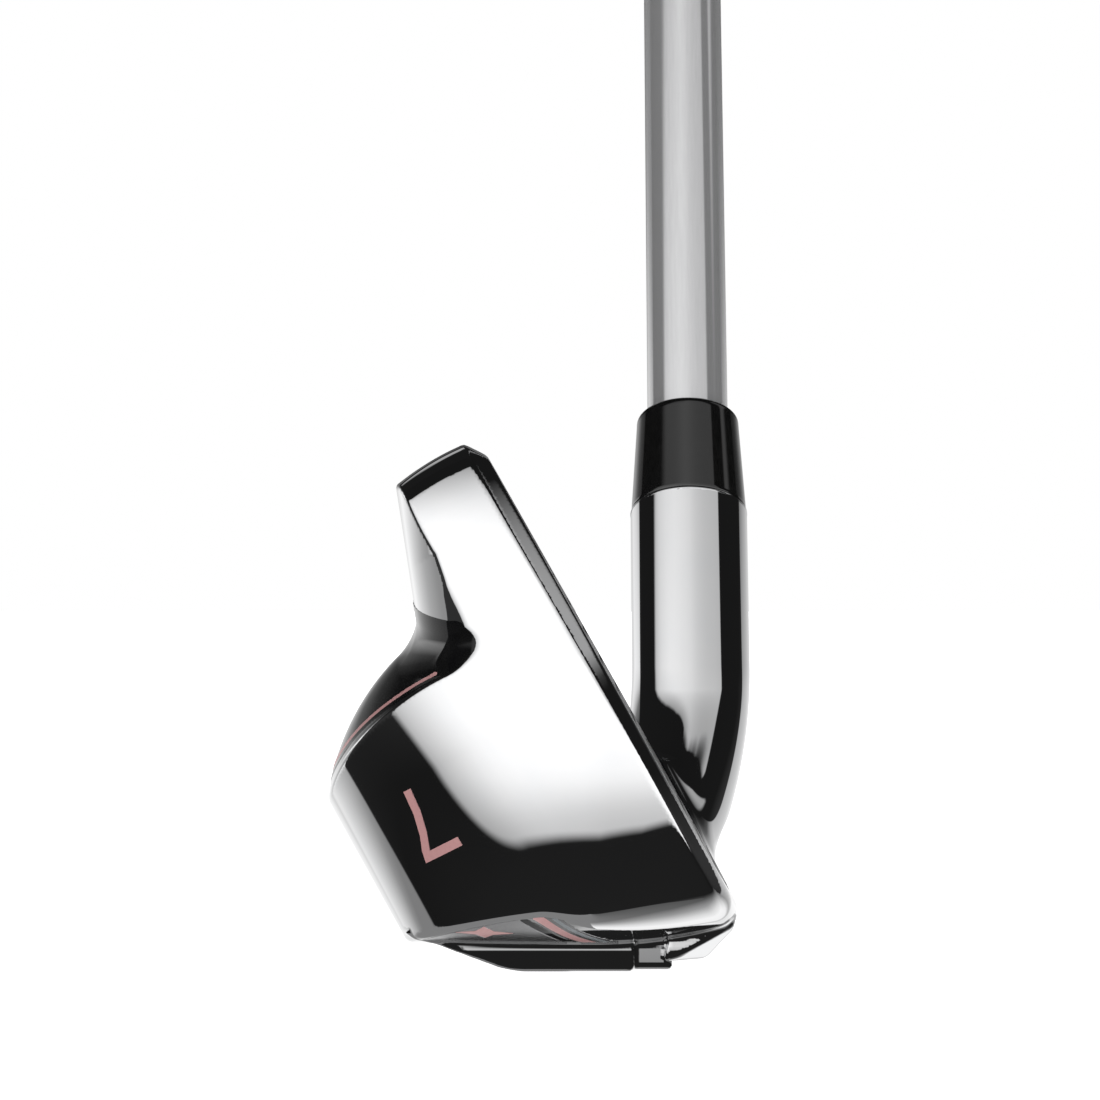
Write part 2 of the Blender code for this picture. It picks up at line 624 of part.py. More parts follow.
def head_inside(parent_face, tungsten, elastomer):
    """The tungsten toe weight and the elastomer pad behind the face, both inside the hollow."""
    outline = [(10.0, 17.5), (24.5, 26.5), (24.5, 33.0), (10.0, 26.0)]
    weight = slab("toe_weight", outline, "depth_height", -67.5, -55.0, parent_face, tungsten)
    corners = arc((0, PLAN_MID_TOE), (SOLE_WIDTH - WALL - 1.0, HEAD_LENGTH + PLAN_MID_TOE - WALL - 2.4), -90, 0, 12)
    clip = slab("weight_clip", [(-5, -90), *corners, (-5, -50)], "depth_y", -60, 0, parent_face)
    boolean(weight, "INTERSECT", clip)
    pad = slab("face_damper", arc((-38.0, 30.0), (11.0, 7.0), 0, 360, 40)[:-1], "y_height",
               -9.5, -FACE_THICKNESS - GAP, parent_face, elastomer)
    return weight, pad


# ---------------------------------------------------------------- shaft and grip

def shaft_radius(height):
    butt = CLUB_LENGTH - CAP_THICKNESS
    share = max(0.0, (height - TIP_PARALLEL) / (butt - TIP_PARALLEL))
    return TIP_RADIUS + (BUTT_RADIUS - TIP_RADIUS) * share


def shaft_parts(parent, graphite, black, epoxy, brass, rubber):
    tip = HOSEL_TOP - BORE_DEPTH + 0.6
    butt = CLUB_LENGTH - CAP_THICKNESS - 0.3
    wall_tip, wall_butt = 2.2, 1.3
    turned("shaft", [(shaft_radius(butt), butt), (TIP_RADIUS, TIP_PARALLEL), (TIP_RADIUS, tip + 0.5),
                     (TIP_RADIUS - 0.5, tip), (TIP_RADIUS - wall_tip, tip),
                     (TIP_RADIUS - wall_tip, TIP_PARALLEL), (BUTT_RADIUS - wall_butt, butt)],
           parent, graphite)

    low = HOSEL_TOP + FIT
    top = HOSEL_TOP + FERRULE_LENGTH
    inner = TIP_RADIUS + FIT
    shoulder = [(5.95 - 1.0 + cos(a) * 1.0, top - 1.0 + sin(a) * 1.0)
                for a in (radians(step * 15) for step in range(6, -1, -1))]
    turned("ferrule", [(inner, top), *shoulder, (HOSEL_RADIUS + 0.05, low + 0.25), (HOSEL_RADIUS - 0.1, low),
                       (inner, low)], parent, black)

    turned("hosel_bond", [(BORE_RADIUS - 0.03, HOSEL_TOP - 0.4), (BORE_RADIUS - 0.03, tip + 0.6),
                          (TIP_RADIUS + 0.03, tip + 0.6), (TIP_RADIUS + 0.03, HOSEL_TOP - 0.4)], parent, epoxy)
    bore = TIP_RADIUS - wall_tip
    turned("tip_weight", [(0.0, tip + 26.0), (bore - 0.1, tip + 26.0), (bore - 0.1, tip + 4.0),
                          (bore - 0.7, tip + 2.5), (0.0, tip + 2.5)], parent, brass, steps=32)
    turned("tip_plug", [(0.0, tip + 34.0), (bore - 0.15, tip + 34.0), (bore - 0.1, tip + 30.0),
                        (bore - 0.15, tip + 26.4), (0.0, tip + 26.4)], parent, rubber, steps=32)


def grip_parts(parent, rubber, tape, cap_rubber):
    butt = CLUB_LENGTH - CAP_THICKNESS
    mouth = CLUB_LENGTH - GRIP_LENGTH

    def bore(height):
        return shaft_radius(height) + TAPE_THICKNESS + 2 * FIT

    def outer(share):
        """Outer radius from the mouth, at share 0, to the butt, at 1: fuller under the upper hand."""
        return GRIP_MOUTH_RADIUS + (GRIP_BUTT_RADIUS - GRIP_MOUTH_RADIUS) * share ** 0.85

    top = butt - 0.1
    rings = 16
    shell = [(outer(i / rings), mouth + (top - mouth) * i / rings) for i in range(rings, 0, -1)]
    lip = [(outer(0) + 0.1, mouth + 3.0), (outer(0) - 0.2, mouth + 0.6), (outer(0) - 0.9, mouth)]
    turned("grip_sleeve", [*shell, *lip, (bore(mouth), mouth), (bore(top), top)], parent, rubber)

    low = mouth + 4.0
    turned("grip_tape", [(shaft_radius(butt - 2) + FIT + TAPE_THICKNESS, butt - 2.0),
                         (shaft_radius(low) + FIT + TAPE_THICKNESS, low),
                         (shaft_radius(low) + FIT, low), (shaft_radius(butt - 2) + FIT, butt - 2.0)],
           parent, tape)

    vent = 0.9
    turned("grip_cap", [(9.6, CLUB_LENGTH), (11.6, CLUB_LENGTH - 0.5), (13.1, CLUB_LENGTH - 2.2),
                        (13.2, butt + 0.4), (12.9, butt + 0.0), (vent, butt + 0.0), (vent, CLUB_LENGTH - 1.0),
                        (vent + 0.8, CLUB_LENGTH - 0.4), (2.6, CLUB_LENGTH)], parent, cap_rubber)


def main():
    for obj in list(bpy.data.objects):
        bpy.data.objects.remove(obj)
    for collection in (CLUB, CUTTERS):
        bpy.context.scene.collection.children.link(collection)

    axis = Vector((0.0, cos(LIE), sin(LIE)))
    ground = frame("ground", location=-axis * HOLD)
    face = frame("face", ground, (LEADING_X, 0, 0), (0, -LOFT, 0))
    shaft = frame("shaft_axis", ground, rotation=(-(pi / 2 - LIE), 0, 0))

    chrome = finish("chrome", (0.78, 0.78, 0.79), 0.06, 1.0)
    steel = finish("face_steel", (0.62, 0.62, 0.63), 0.30, 1.0)
    satin = finish("satin_nickel", (0.55, 0.55, 0.56), 0.25, 1.0)
    silver = finish("silver_blue", (0.66, 0.70, 0.73), 0.25, 1.0)
    rose = finish("rose_gold", (0.78, 0.44, 0.42), 0.28, 0.6)
    black = finish("gloss_black", (0.012, 0.012, 0.013), 0.08, 0.0)
    graphite = finish("shaft_grey", (0.55, 0.55, 0.56), 0.18, 0.75)
    grip_rubber = finish("grip_rubber", (0.03, 0.03, 0.032), 0.80, 0.0)
    cap_rubber = finish("cap_rubber", (0.035, 0.035, 0.037), 0.55, 0.0)
    tape = finish("grip_tape", (0.75, 0.72, 0.62), 0.80, 0.0)
    epoxy = finish("epoxy", (0.70, 0.62, 0.42), 0.40, 0.0)
    brass = finish("brass", (0.80, 0.60, 0.25), 0.30, 1.0)
    plug = finish("plug_rubber", (0.10, 0.08, 0.07), 0.80, 0.0)
    tungsten = finish("tungsten", (0.30, 0.30, 0.31), 0.45, 1.0)
    elastomer = finish("elastomer", (0.16, 0.16, 0.17), 0.60, 0.0)

    recesses = [crown_panel(face, black, rose), sole_badge(ground, face, satin, black, rose, silver),
                number_seven(face, rose)]
    head_body(face, ground, shaft, chrome, recesses)
    face_plate(face, steel)
    head_inside(face, tungsten, elastomer)
    shaft_parts(shaft, graphite, black, epoxy, brass, plug)
    grip_parts(shaft, grip_rubber, tape, cap_rubber)


main()
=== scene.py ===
"""The iron golf club's finished look: meshes, materials, light and camera over the CAD frame.

Lengths are in millimetres and are scaled by MM where meshes are made. The head is worked out in the ground frame:
+X to the target, +Y from toe to heel, +Z up, with the shaft's axis meeting the ground at its origin.
"""

import json
from math import cos, pi, radians, sin

import bmesh
import bpy
import numpy as np
from mathutils import Matrix, Vector

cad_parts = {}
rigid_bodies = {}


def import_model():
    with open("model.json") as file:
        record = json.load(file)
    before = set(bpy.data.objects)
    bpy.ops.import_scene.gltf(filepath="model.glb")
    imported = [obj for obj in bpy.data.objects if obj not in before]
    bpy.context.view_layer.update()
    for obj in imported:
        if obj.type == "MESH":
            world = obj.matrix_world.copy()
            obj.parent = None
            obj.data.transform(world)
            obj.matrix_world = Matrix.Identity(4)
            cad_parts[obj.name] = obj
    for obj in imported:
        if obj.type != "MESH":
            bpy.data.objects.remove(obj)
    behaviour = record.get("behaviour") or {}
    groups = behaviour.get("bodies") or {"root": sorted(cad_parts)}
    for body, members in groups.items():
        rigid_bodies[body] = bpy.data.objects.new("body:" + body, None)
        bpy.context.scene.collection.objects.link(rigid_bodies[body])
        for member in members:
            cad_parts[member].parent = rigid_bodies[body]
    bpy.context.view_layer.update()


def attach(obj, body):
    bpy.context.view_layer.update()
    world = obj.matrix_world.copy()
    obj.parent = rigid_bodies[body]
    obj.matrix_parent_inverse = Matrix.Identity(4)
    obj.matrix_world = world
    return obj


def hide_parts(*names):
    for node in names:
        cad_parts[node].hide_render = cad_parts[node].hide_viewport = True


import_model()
MM = 0.001

LIE = radians(62.5)
LOFT = radians(29.0)
HOLD = 820.0
LEADING_X = 7.2
AXIS = Vector((0.0, cos(LIE), sin(LIE)))
GROUND = -AXIS * HOLD * MM  # the ground frame's origin
UP_SHAFT = Matrix.Translation(GROUND) @ Matrix.Rotation(LIE - pi / 2, 4, "X")  # z runs up the shaft's axis

# the head: depth is measured back from the face, level up the face, both in the face's own plane
TOE_MID = -50.0  # where the toe wall's curve starts, and the heel wall's
HEEL_MID = -34.0
REAR = 31.0
TOP_LEVEL = 62.5  # the top line at its toe end
TOP_TOE = -64.0
BLADE_DEPTH = 13.56  # the blade's back, and the level it is measured at
BLADE_LEVEL = 50.5
CROWN_DEPTH = 10.8  # the dome's centre line
CROWN_LEVEL = 23.0
CROWN_RADIUS = 25.0
SOLE_MID = -35.0  # the sole's lowest point, its height there and its camber's radius
SOLE_LOW = 2.5
SOLE_CAMBER = 310.0
RAILS = ((-50.5, 1.0), (-19.5, -1.0))  # each rail's middle, and which way it faces
WALL = 2.1
SOLE_WALL = 2.9
PANEL_SEAT = 0.7
BADGE_SEAT = 0.4

# the face's grooves
SCORE_TOE = -63.0
SCORE_HEEL = -19.0
SCORE_FIRST = 13.0
SCORE_PITCH = 3.4
SCORE_COUNT = 12

# the hosel, the shaft and the grip, by height up the shaft's axis
HOSEL_RADIUS = 6.75
HOSEL_TOP = 53.6
HOSEL_LEAN = 30.0  # where the hosel starts to lean back, and where it starts to flare
HOSEL_FLARE = 27.5
BORE_RADIUS = 4.95
BORE_BOTTOM = 22.6
TIP_RADIUS = 4.7
TIP_PARALLEL = 190.0
BUTT_RADIUS = 7.55
SHAFT_WALL = 2.2
FERRULE_TOP = 66.0
CLUB_LENGTH = 920.0
GRIP_MOUTH = 655.0
GRIP_BUTT = 916.0
TICK_PITCH = 3.6
TICKS_ROUND = 24
CELL = 0.34


# ---------------------------------------------------------------- solid fields: negative inside, in millimetres

def smoothstep(value, low, high):
    t = np.clip((value - low) / (high - low), 0.0, 1.0)
    return t * t * (3 - 2 * t)


def both(a, b, r):
    """Intersection with the edge rounded to radius r."""
    return (np.minimum(np.maximum(a, b), -r)
            + np.hypot(np.maximum(a + r, 0.0), np.maximum(b + r, 0.0)))


def either(a, b, r):
    """Union with the corner filled to radius r."""
    return (np.maximum(np.minimum(a, b), r)
            - np.hypot(np.maximum(r - a, 0.0), np.maximum(r - b, 0.0)))


def soft_union(a, b, k):
    h = np.maximum(k - np.abs(a - b), 0.0) / k
    return np.minimum(a, b) - h * h * h * k / 6.0


def soft_both(a, b, k):
    h = np.maximum(k - np.abs(a - b), 0.0) / k
    return np.maximum(a, b) + h * h * h * k / 6.0


def chamfered(a, b, leg, r):
    """Intersection with a bevel that takes leg off b's side, its two edges rounded a little."""
    flat = 0.616 * a + 0.788 * (b + leg)
    return soft_both(soft_both(a, flat, r), b, r)


def depth_height(x, z):
    """Depth behind the face and level up it."""
    along = x - LEADING_X
    return -along * cos(LOFT) - z * sin(LOFT), -along * sin(LOFT) + z * cos(LOFT)


def toe_reach(h):
    """Distance from TOE_MID to the toe wall at each height up the face."""
    up = np.clip(h - 36.0, 0.0, 33.0)
    down = np.clip((36.0 - h) / 17.0, 0.0, 4.0)
    return np.maximum(30.0 - 40.0 + np.sqrt(40.0 ** 2 - up ** 2) - 3.4 * down ** 2.6, 0.6)


def plan_field(d, y, h):
    """The toe, rear and heel walls."""
    reach = np.where(y < TOE_MID, toe_reach(h), 37.0)
    slope = np.where(y < TOE_MID, (toe_reach(h + 0.05) - toe_reach(h - 0.05)) * 10.0, 0.0)
    v = np.maximum(TOE_MID - y, 0.0) + np.maximum(y - HEEL_MID, 0.0)
    back = np.maximum(d, 0.0)
    q = np.sqrt((back / REAR) ** 2 + (v / reach) ** 2 + 1e-9)
    gd, gv = back / REAR ** 2 / q, v / reach ** 2 / q
    gh = gv * v / reach * slope
    return (q - 1.0) / np.maximum(np.sqrt(gd * gd + gv * gv + gh * gh), 1.0 / REAR)


def sole_height(x, y):
    """The sole's height over the ground: cambered along the blade, and curving up towards all its edges."""
    heel = np.maximum(y + 10.0, 0.0)
    run = x + 11.0
    toe = np.maximum(-58.0 - y, 0.0)
    return (SOLE_LOW + (y - SOLE_MID) ** 2 / SOLE_CAMBER + heel ** 3 / 5800.0
            + 0.0052 * toe ** 2 * smoothstep(x, -11.0, -17.0)
            + np.where(run < 0, run ** 2 / 1200.0, run ** 2 / 100.0))


def sole_field(x, y, z):
    heel = np.maximum(y + 10.0, 0.0)
    slope = (y - SOLE_MID) / (SOLE_CAMBER / 2.0) + heel ** 2 / 1933.0
    return (sole_height(x, y) - z) / np.sqrt(1.0 + slope ** 2)


def crown_drop(y):
    """How far the dome has dropped towards the toe and the heel."""
    toe = np.maximum(TOE_MID - y, 0.0)
    heel = np.maximum(y + 52.0, 0.0)
    return 0.0067 * toe ** 2 + 0.5 * heel ** 2 / (heel + 5.0)


def crown_field(d, y, h):
    """The dome over the hollow."""
    return np.hypot(d - CROWN_DEPTH, h - CROWN_LEVEL + crown_drop(y)) - CROWN_RADIUS


def blade_field(d, y, h):
    """Depth past the blade's back, which curves in towards the toe and ends there in a narrow facet."""
    curve = 0.021 - 0.0012 * np.maximum(h - 54.0, 0.0)
    back = BLADE_DEPTH + (BLADE_LEVEL - h) * 0.37 - curve * np.maximum(-62.0 - y, 0.0) ** 2
    facet = 0.67 * (d - 9.65) - 0.67 * (y + 74.4) + 0.231 * (np.maximum(h, 46.4) - 54.2)
    return both((d - back) * 0.92, facet, 0.1)


def hosel_field(x, y, z):
    """The hosel, straight above, leaning back and flaring towards the toe below; and the height up its axis."""
    low = np.maximum(HOSEL_LEAN - z, 0.0)
    lean = 0.0096 * low ** 2
    off = y * sin(LIE) - z * cos(LIE)
    below = np.maximum(HOSEL_FLARE - z, 0.0)
    flare = 0.30 * below ** 2 / (below + 7.0)
    off = np.where(off < 0, off * HOSEL_RADIUS / (HOSEL_RADIUS + flare), off)
    return np.hypot(x + lean, off) - HOSEL_RADIUS, y * cos(LIE) + z * sin(LIE)


def rail_field(x, y, z, middle, mirror):
    """One front-to-back rail under the sole, split by a set-back web; the toe's sits a little higher.

    Each side is a flat plane, written as its normal times the place, plus an offset. across runs from the rail's
    middle towards the heel for the toe's rail and towards the toe for the other.
    """
    toe_rail = mirror > 0
    floor = 1.1 if toe_rail else 0.0
    across = (y - middle) * mirror
    inner = 0.970 * across - 0.243 * z - 5.43
    side = both(-0.848 * across - 0.530 * z - 4.045, -0.956 * across - 0.292 * z - 5.52, 0.12)
    side = both(side, inner, 0.3)
    rear = both(both(-0.363 * x - 0.932 * z - 6.16, x + 7.35, 0.9), floor - z, 0.6)
    if toe_rail:
        nose, slope = 2.1, both(0.774 * x - 0.633 * z + 1.5, 0.4 * x - 0.4 * (across + 6.0) - 0.825 * z + 3.2, 0.2)
    else:
        nose, slope = 0.2, 0.557 * x - 0.830 * z + 0.8
    front = both(-x - 4.9 + 0.2 * z, slope, 0.2)
    front = both(both(front, nose - z, 0.6), x - 2.6, 0.3)
    web = both(both(-0.9285 * across - 0.3714 * z - 4.10, inner, 0.3), both(-7.8 - x, x + 3.6, 0.2), 0.2)
    web = both(web, floor + 0.15 - z, 0.5)
    roof = z - sole_height(x, y) - 0.7
    return np.maximum(np.minimum(both(np.minimum(rear, front), side, 0.35), web), roof)


def top_field(d, y, h):
    """The top line, with a short level stretch beside the toe, and running down into the hosel."""
    line = (h - TOP_LEVEL + 0.52 * (y - TOP_TOE) - 0.004 * np.maximum(y + 20.0, 0.0) ** 2) * 0.887
    bulge = 0.02 * np.minimum(d - 5.0, 7.0) ** 2 + 0.03 * np.clip(d - 1.0, 0.0, 9.0)
    return both(line, h - TOP_LEVEL - 0.09 * (y - TOP_TOE), 0.8) + bulge


def core_field(x, y, z):
    """The blade and the hollow muscle behind it, without their front and their sole."""
    d, h = depth_height(x, z)
    outline = both(plan_field(d, y, h), top_field(d, y, h), 1.8 + 8.0 * smoothstep(y, -20.0, -5.0))
    body = either(blade_field(d, y, h), crown_field(d, y, h), 2.6)
    return both(body, outline, 0.25)


def head_field(x, y, z):
    """The whole outside of the head."""
    d, h = depth_height(x, z)
    sole = sole_field(x, y, z)
    body = both(core_field(x, y, z), sole, 0.5 + 2.0 * smoothstep(x, -17.0, -4.0))
    low = smoothstep(h, 15.0, 8.0)
    leg = 1.2 + 0.3 * smoothstep(h, 20.0, 60.0)
    body = chamfered(body, -d, leg, 0.4) * (1 - low) + both(body, -d, 2.6) * low
    hosel, along = hosel_field(x, y, z)
    hosel = both(hosel, sole, 3.0)
    body = soft_union(body, hosel, 4.0)
    body = np.maximum(body, along - HOSEL_TOP)
    for middle, mirror in RAILS:
        body = either(body, rail_field(x, y, z, middle, mirror), 0.5)
    return body


def face_outline_field(x, y, z):
    """The face plate's outline, whatever the depth."""
    d, h = depth_height(x, z)
    level = (y - SOLE_MID) ** 2 / 260.0
    outline = both(plan_field(np.zeros_like(d), y, h) + 3.0, top_field(0.0 * d, y, h) + 3.0, 3.5)
    outline = both(outline, (level + 8.2) / cos(LOFT) - h, 3.0)
    return both(outline, y + 15.5, 1.0)


def polygon_field(u, v, points):
    """Distance to a closed flat outline."""
    best = np.full(np.shape(u), 1e9)
    sign = np.ones(np.shape(u))
    for (ax, ay), (bx, by) in zip(points, points[1:] + points[:1]):
        ex, ey = bx - ax, by - ay
        wx, wy = u - ax, v - ay
        t = np.clip((wx * ex + wy * ey) / (ex * ex + ey * ey), 0.0, 1.0)
        best = np.minimum(best, (wx - ex * t) ** 2 + (wy - ey * t) ** 2)
        over = v >= ay
        under = v < by
        left = ex * wy > ey * wx
        sign = np.where((over & under & left) | (~over & ~under & ~left), -sign, sign)
    return sign * np.sqrt(best)


def panel_zone(x, y, z):
    """Where the black crown panel lies, whatever the depth under the surface; with the depth and its inset."""
    d, h = depth_height(x, z)
    inset = 0.2 + 0.35 * smoothstep(d, 12.0, 17.0) + 0.6 * smoothstep(d, 17.0, 27.0)
    zone = both(plan_field(d, y, h) + inset, h - 52.0 + crown_drop(y), 0.6)
    zone = both(zone, y + 13.0, 3.0)
    under = np.maximum(27.0 - crown_drop(y) - h, sole_height(x, y) + 5.0 - z)
    return np.maximum(zone, np.maximum(8.2 - d, under)), d, h, inset


def line_zone(x, y, z):
    """The thin line that follows the panel's toe and rear edge."""
    _, d, h, inset = panel_zone(x, y, z)
    line = np.abs(plan_field(d, y, h) + inset + 0.95) - 0.30
    return both(both(line, 14.3 - d, 0.3), y + 20.0, 0.2)


SEVEN = [(-2.05, 3.6), (2.1, 3.6), (1.85, 2.4), (1.25, 0.9), (0.75, -1.2), (0.55, -3.6),
         (-0.25, -3.6), (-0.05, -1.2), (0.45, 0.9), (1.1, 2.65), (-2.05, 2.65)]
STAR = [(-22.2 + r * cos(a), -64.6 + r * sin(a)) for r, a in
        [((2.9, 1.2)[step % 2], pi / 4 * step) for step in range(8)]]


def star_zone(x, y, z, grow=0.0):
    return polygon_field(x, y, STAR) - grow


def seven_zone(x, y, z):
    d, h = depth_height(x, z)
    zone = polygon_field(d - 22.4, 31.7 - h, SEVEN)
    return np.maximum(zone, y + 45.0)


def badge_offset(x, y):
    """Distance behind the curved front edge of the sole badge."""
    return (-5.2 - (y - SOLE_MID) ** 2 / 150.0 - x) * 0.93


def badge_zone(x, y, z, front, rear, toe=-78.0, heel=-57.6, r=0.15):
    """A stretch of the badge between two distances behind its front edge, clear of the toe wall."""
    d, h = depth_height(x, z)
    offset = badge_offset(x, y)
    zone = both(both(front - offset, offset - rear, r), both(y - heel, toe - y, r), r)
    zone = np.maximum(zone, z - sole_height(x, y) - 1.5)
    return both(zone, plan_field(d, y, h) + 0.5, r)


def plate_zone(x, y, z):
    """The badge's plate, with the star cut out of it."""
    plate = both(badge_zone(x, y, z, 5.05, 40.0), -28.6 - x, 0.3)
    return both(plate, -star_zone(x, y, z, 0.1), 0.05)


def recessed(f, x, y, z):
    """The cast body's shallow seats under the panel and the badge."""
    seat = np.maximum(panel_zone(x, y, z)[0] + 1.0, -f - PANEL_SEAT)
    f = np.maximum(f, -seat)
    badge = badge_zone(x, y, z, 0.5, 40.0, -77.8, -57.8, 0.05)
    badge = np.maximum(badge, np.maximum(-28.0 - x, -f - BADGE_SEAT))
    d, h = depth_height(x, z)
    return np.maximum(f, -np.maximum(badge, plan_field(d, y, h) + 1.5))


def channel_zone(x, y, z):
    """The channel that splits the rails."""
    behind = badge_offset(x, y) / 0.93
    zone = both(both(-behind, behind - 1.9, 0.1), both(-44.0 - y, y + 25.0, 0.4), 0.2)
    return both(zone, z - sole_height(x, y) - 1.2, 0.5)


def body_field(x, y, z):
    """The casting: the head with its seats, its sole channel, its hollow and its bore."""
    f = recessed(head_field(x, y, z), x, y, z)
    d, _ = depth_height(x, z)
    face = face_outline_field(x, y, z)
    f = both(f, -channel_zone(x, y, z), 0.15)
    f = np.maximum(f, -np.maximum(face - 0.1, d - 2.3))
    hollow = both(core_field(x, y, z) + WALL, sole_field(x, y, z) + SOLE_WALL, 2.0)
    hollow = np.maximum(both(hollow, face + 2.2, 2.0), 1.5 - d)
    f = np.maximum(f, -hollow)
    along = y * cos(LIE) + z * sin(LIE)
    bore = both(np.hypot(x, y * sin(LIE) - z * cos(LIE)) - BORE_RADIUS, BORE_BOTTOM - along, 0.3)
    return np.maximum(np.maximum(f, -bore), along - HOSEL_TOP + 0.35)  # the hosel's mouth is turned instead


body_field.proud = 0.0


def face_field(x, y, z):
    """The face plate with its twelve scored grooves."""
    d, h = depth_height(x, z)
    plate = both(both(-d, face_outline_field(x, y, z), 0.15), d - 2.2, 0.1)
    row = np.clip(np.round((h - SCORE_FIRST) / SCORE_PITCH), 0, SCORE_COUNT - 1)
    level = SCORE_FIRST + SCORE_PITCH * row
    toe = np.where(row == 0, SCORE_TOE + 6.0, np.maximum(SCORE_TOE, np.where(level > 45, level * 0.35 - 85.0, -99.0)))
    heel = np.minimum(SCORE_HEEL, -8.0 - (level - 26.1) * 2.0)
    heel = np.where(row == 0, SCORE_HEEL - 2.0, heel)
    groove = both(both(np.abs(h - level) - 0.4, toe - y, 0.3), y - heel, 0.3)
    groove = both(groove, d - 0.4, 0.15)
    return both(plate, -groove, 0.08)


def layer(zone, proud, thick, r=0.08):
    """A piece let into the head: the head's surface within a zone, a little proud, with a softened edge."""
    def field(x, y, z):
        f = head_field(x, y, z)
        area = zone(x, y, z)
        area = area[0] if isinstance(area, tuple) else area
        return both(both(f - proud, -f - thick, 0.05), area, r)
    field.proud = proud
    return field


def gradient(field, points, step=0.02):
    """The field's slope at each point, which is its surface's outward normal."""
    x, y, z = points.T
    return np.stack([field(x + step, y, z) - field(x - step, y, z),
                     field(x, y + step, z) - field(x, y - step, z),
                     field(x, y, z + step) - field(x, y, z - step)], 1) / (2 * step)


# the twelve edges of a cell, each by its two corners
EDGES = [((0, 0, 0), (1, 0, 0)), ((0, 1, 0), (1, 1, 0)), ((0, 0, 1), (1, 0, 1)), ((0, 1, 1), (1, 1, 1)),
         ((0, 0, 0), (0, 1, 0)), ((1, 0, 0), (1, 1, 0)), ((0, 0, 1), (0, 1, 1)), ((1, 0, 1), (1, 1, 1)),
         ((0, 0, 0), (0, 0, 1)), ((1, 0, 0), (1, 0, 1)), ((0, 1, 0), (0, 1, 1)), ((1, 1, 0), (1, 1, 1))]


def skin(field, low, high, cell):
    """Dual contouring of a field: one vertex in each cell the surface crosses, placed by its tangent planes."""
    low = np.array(low, float)
    count = np.ceil((np.array(high) - low) / cell).astype(int) + 1
    block = 5
    blocks = -(-count // block)
    middle = [low[i] + cell * (block * np.arange(blocks[i]) + (block - 1) / 2) for i in range(3)]
    coarse = field(*np.meshgrid(*middle, indexing="ij"))
    values = coarse.astype(np.float32)
    for axis in range(3):
        values = values.repeat(block, axis)
    near = np.argwhere(np.abs(coarse) < cell * block * 1.1)
    offsets = np.stack(np.meshgrid(*[np.arange(block)] * 3, indexing="ij"), -1).reshape(-1, 3)
    for part in np.array_split(near, len(near) // 4000 + 1):  # only the blocks the surface may cross
        index = (part[:, None, :] * block + offsets[None]).reshape(-1, 3)
        values[tuple(index.T)] = field(*(low + cell * index).T)
    values = values[tuple(slice(0, n) for n in count)]
    inside = values < 0
    total = sum(inside[a:count[0] - 1 + a, b:count[1] - 1 + b, c:count[2] - 1 + c].astype(np.int8)
                for a in (0, 1) for b in (0, 1) for c in (0, 1))
    cells = np.argwhere((total > 0) & (total < 8))
    matrix = np.zeros((len(cells), 3, 3))
    vector = np.zeros((len(cells), 3))
    mass = np.zeros((len(cells), 3))
    hits = np.zeros(len(cells))
    for start, end in EDGES:
        one, two = cells + start, cells + end
        a, b = values[tuple(one.T)], values[tuple(two.T)]
        cut = np.flatnonzero((a < 0) != (b < 0))
        p, q = low + cell * one[cut], low + cell * two[cut]
        fa, fb = a[cut].astype(float), b[cut].astype(float)
        for _ in range(2):  # one regula falsi step past the straight-line guess
            t = (fa / (fa - fb))[:, None]
            mid = p + (q - p) * t
            fm = field(*mid.T)
            same = (fm < 0) == (fa < 0)
            p, fa = np.where(same[:, None], mid, p), np.where(same, fm, fa)
            q, fb = np.where(same[:, None], q, mid), np.where(same, fb, fm)
            fa = np.where(fa == fb, fa - 1e-9, fa)
        normal = gradient(field, mid)
        normal /= np.linalg.norm(normal, axis=1)[:, None] + 1e-12
        matrix[cut] += normal[:, :, None] * normal[:, None, :]
        vector[cut] += normal * np.sum(normal * mid, 1)[:, None]
        mass[cut] += mid
        hits[cut] += 1
    mass /= hits[:, None]
    weak = 0.04
    matrix += np.eye(3) * weak
    vector += mass * weak
    points = np.linalg.solve(matrix, vector[:, :, None])[:, :, 0]
    corner = low + cell * cells
    points = np.clip(points, corner - 0.1 * cell, corner + 1.1 * cell)
    index = np.full(count, -1, np.int32)
    index[tuple(cells.T)] = np.arange(len(cells))
    faces = []
    for axis in range(3):
        shape = [slice(0, n - 1) if i == axis else slice(1, n - 1) for i, n in enumerate(count)]
        after = [slice(1, n) if i == axis else s for i, (n, s) in enumerate(zip(count, shape))]
        here, there = inside[tuple(shape)], inside[tuple(after)]
        at = np.argwhere(here != there)
        leaving = here[tuple(at.T)]
        at = at + [0 if i == axis else 1 for i in range(3)]
        u, v = [(1, 2), (2, 0), (0, 1)][axis]
        ring = []
        for du, dv in ((-1, -1), (0, -1), (0, 0), (-1, 0)):
            step = np.zeros(3, int)
            step[u], step[v] = du, dv
            ring.append(index[tuple((at + step).T)])
        quad = np.stack(ring, 1)
        quad[~leaving] = quad[~leaving][:, ::-1]
        faces.append(quad)
    return points, np.concatenate(faces)


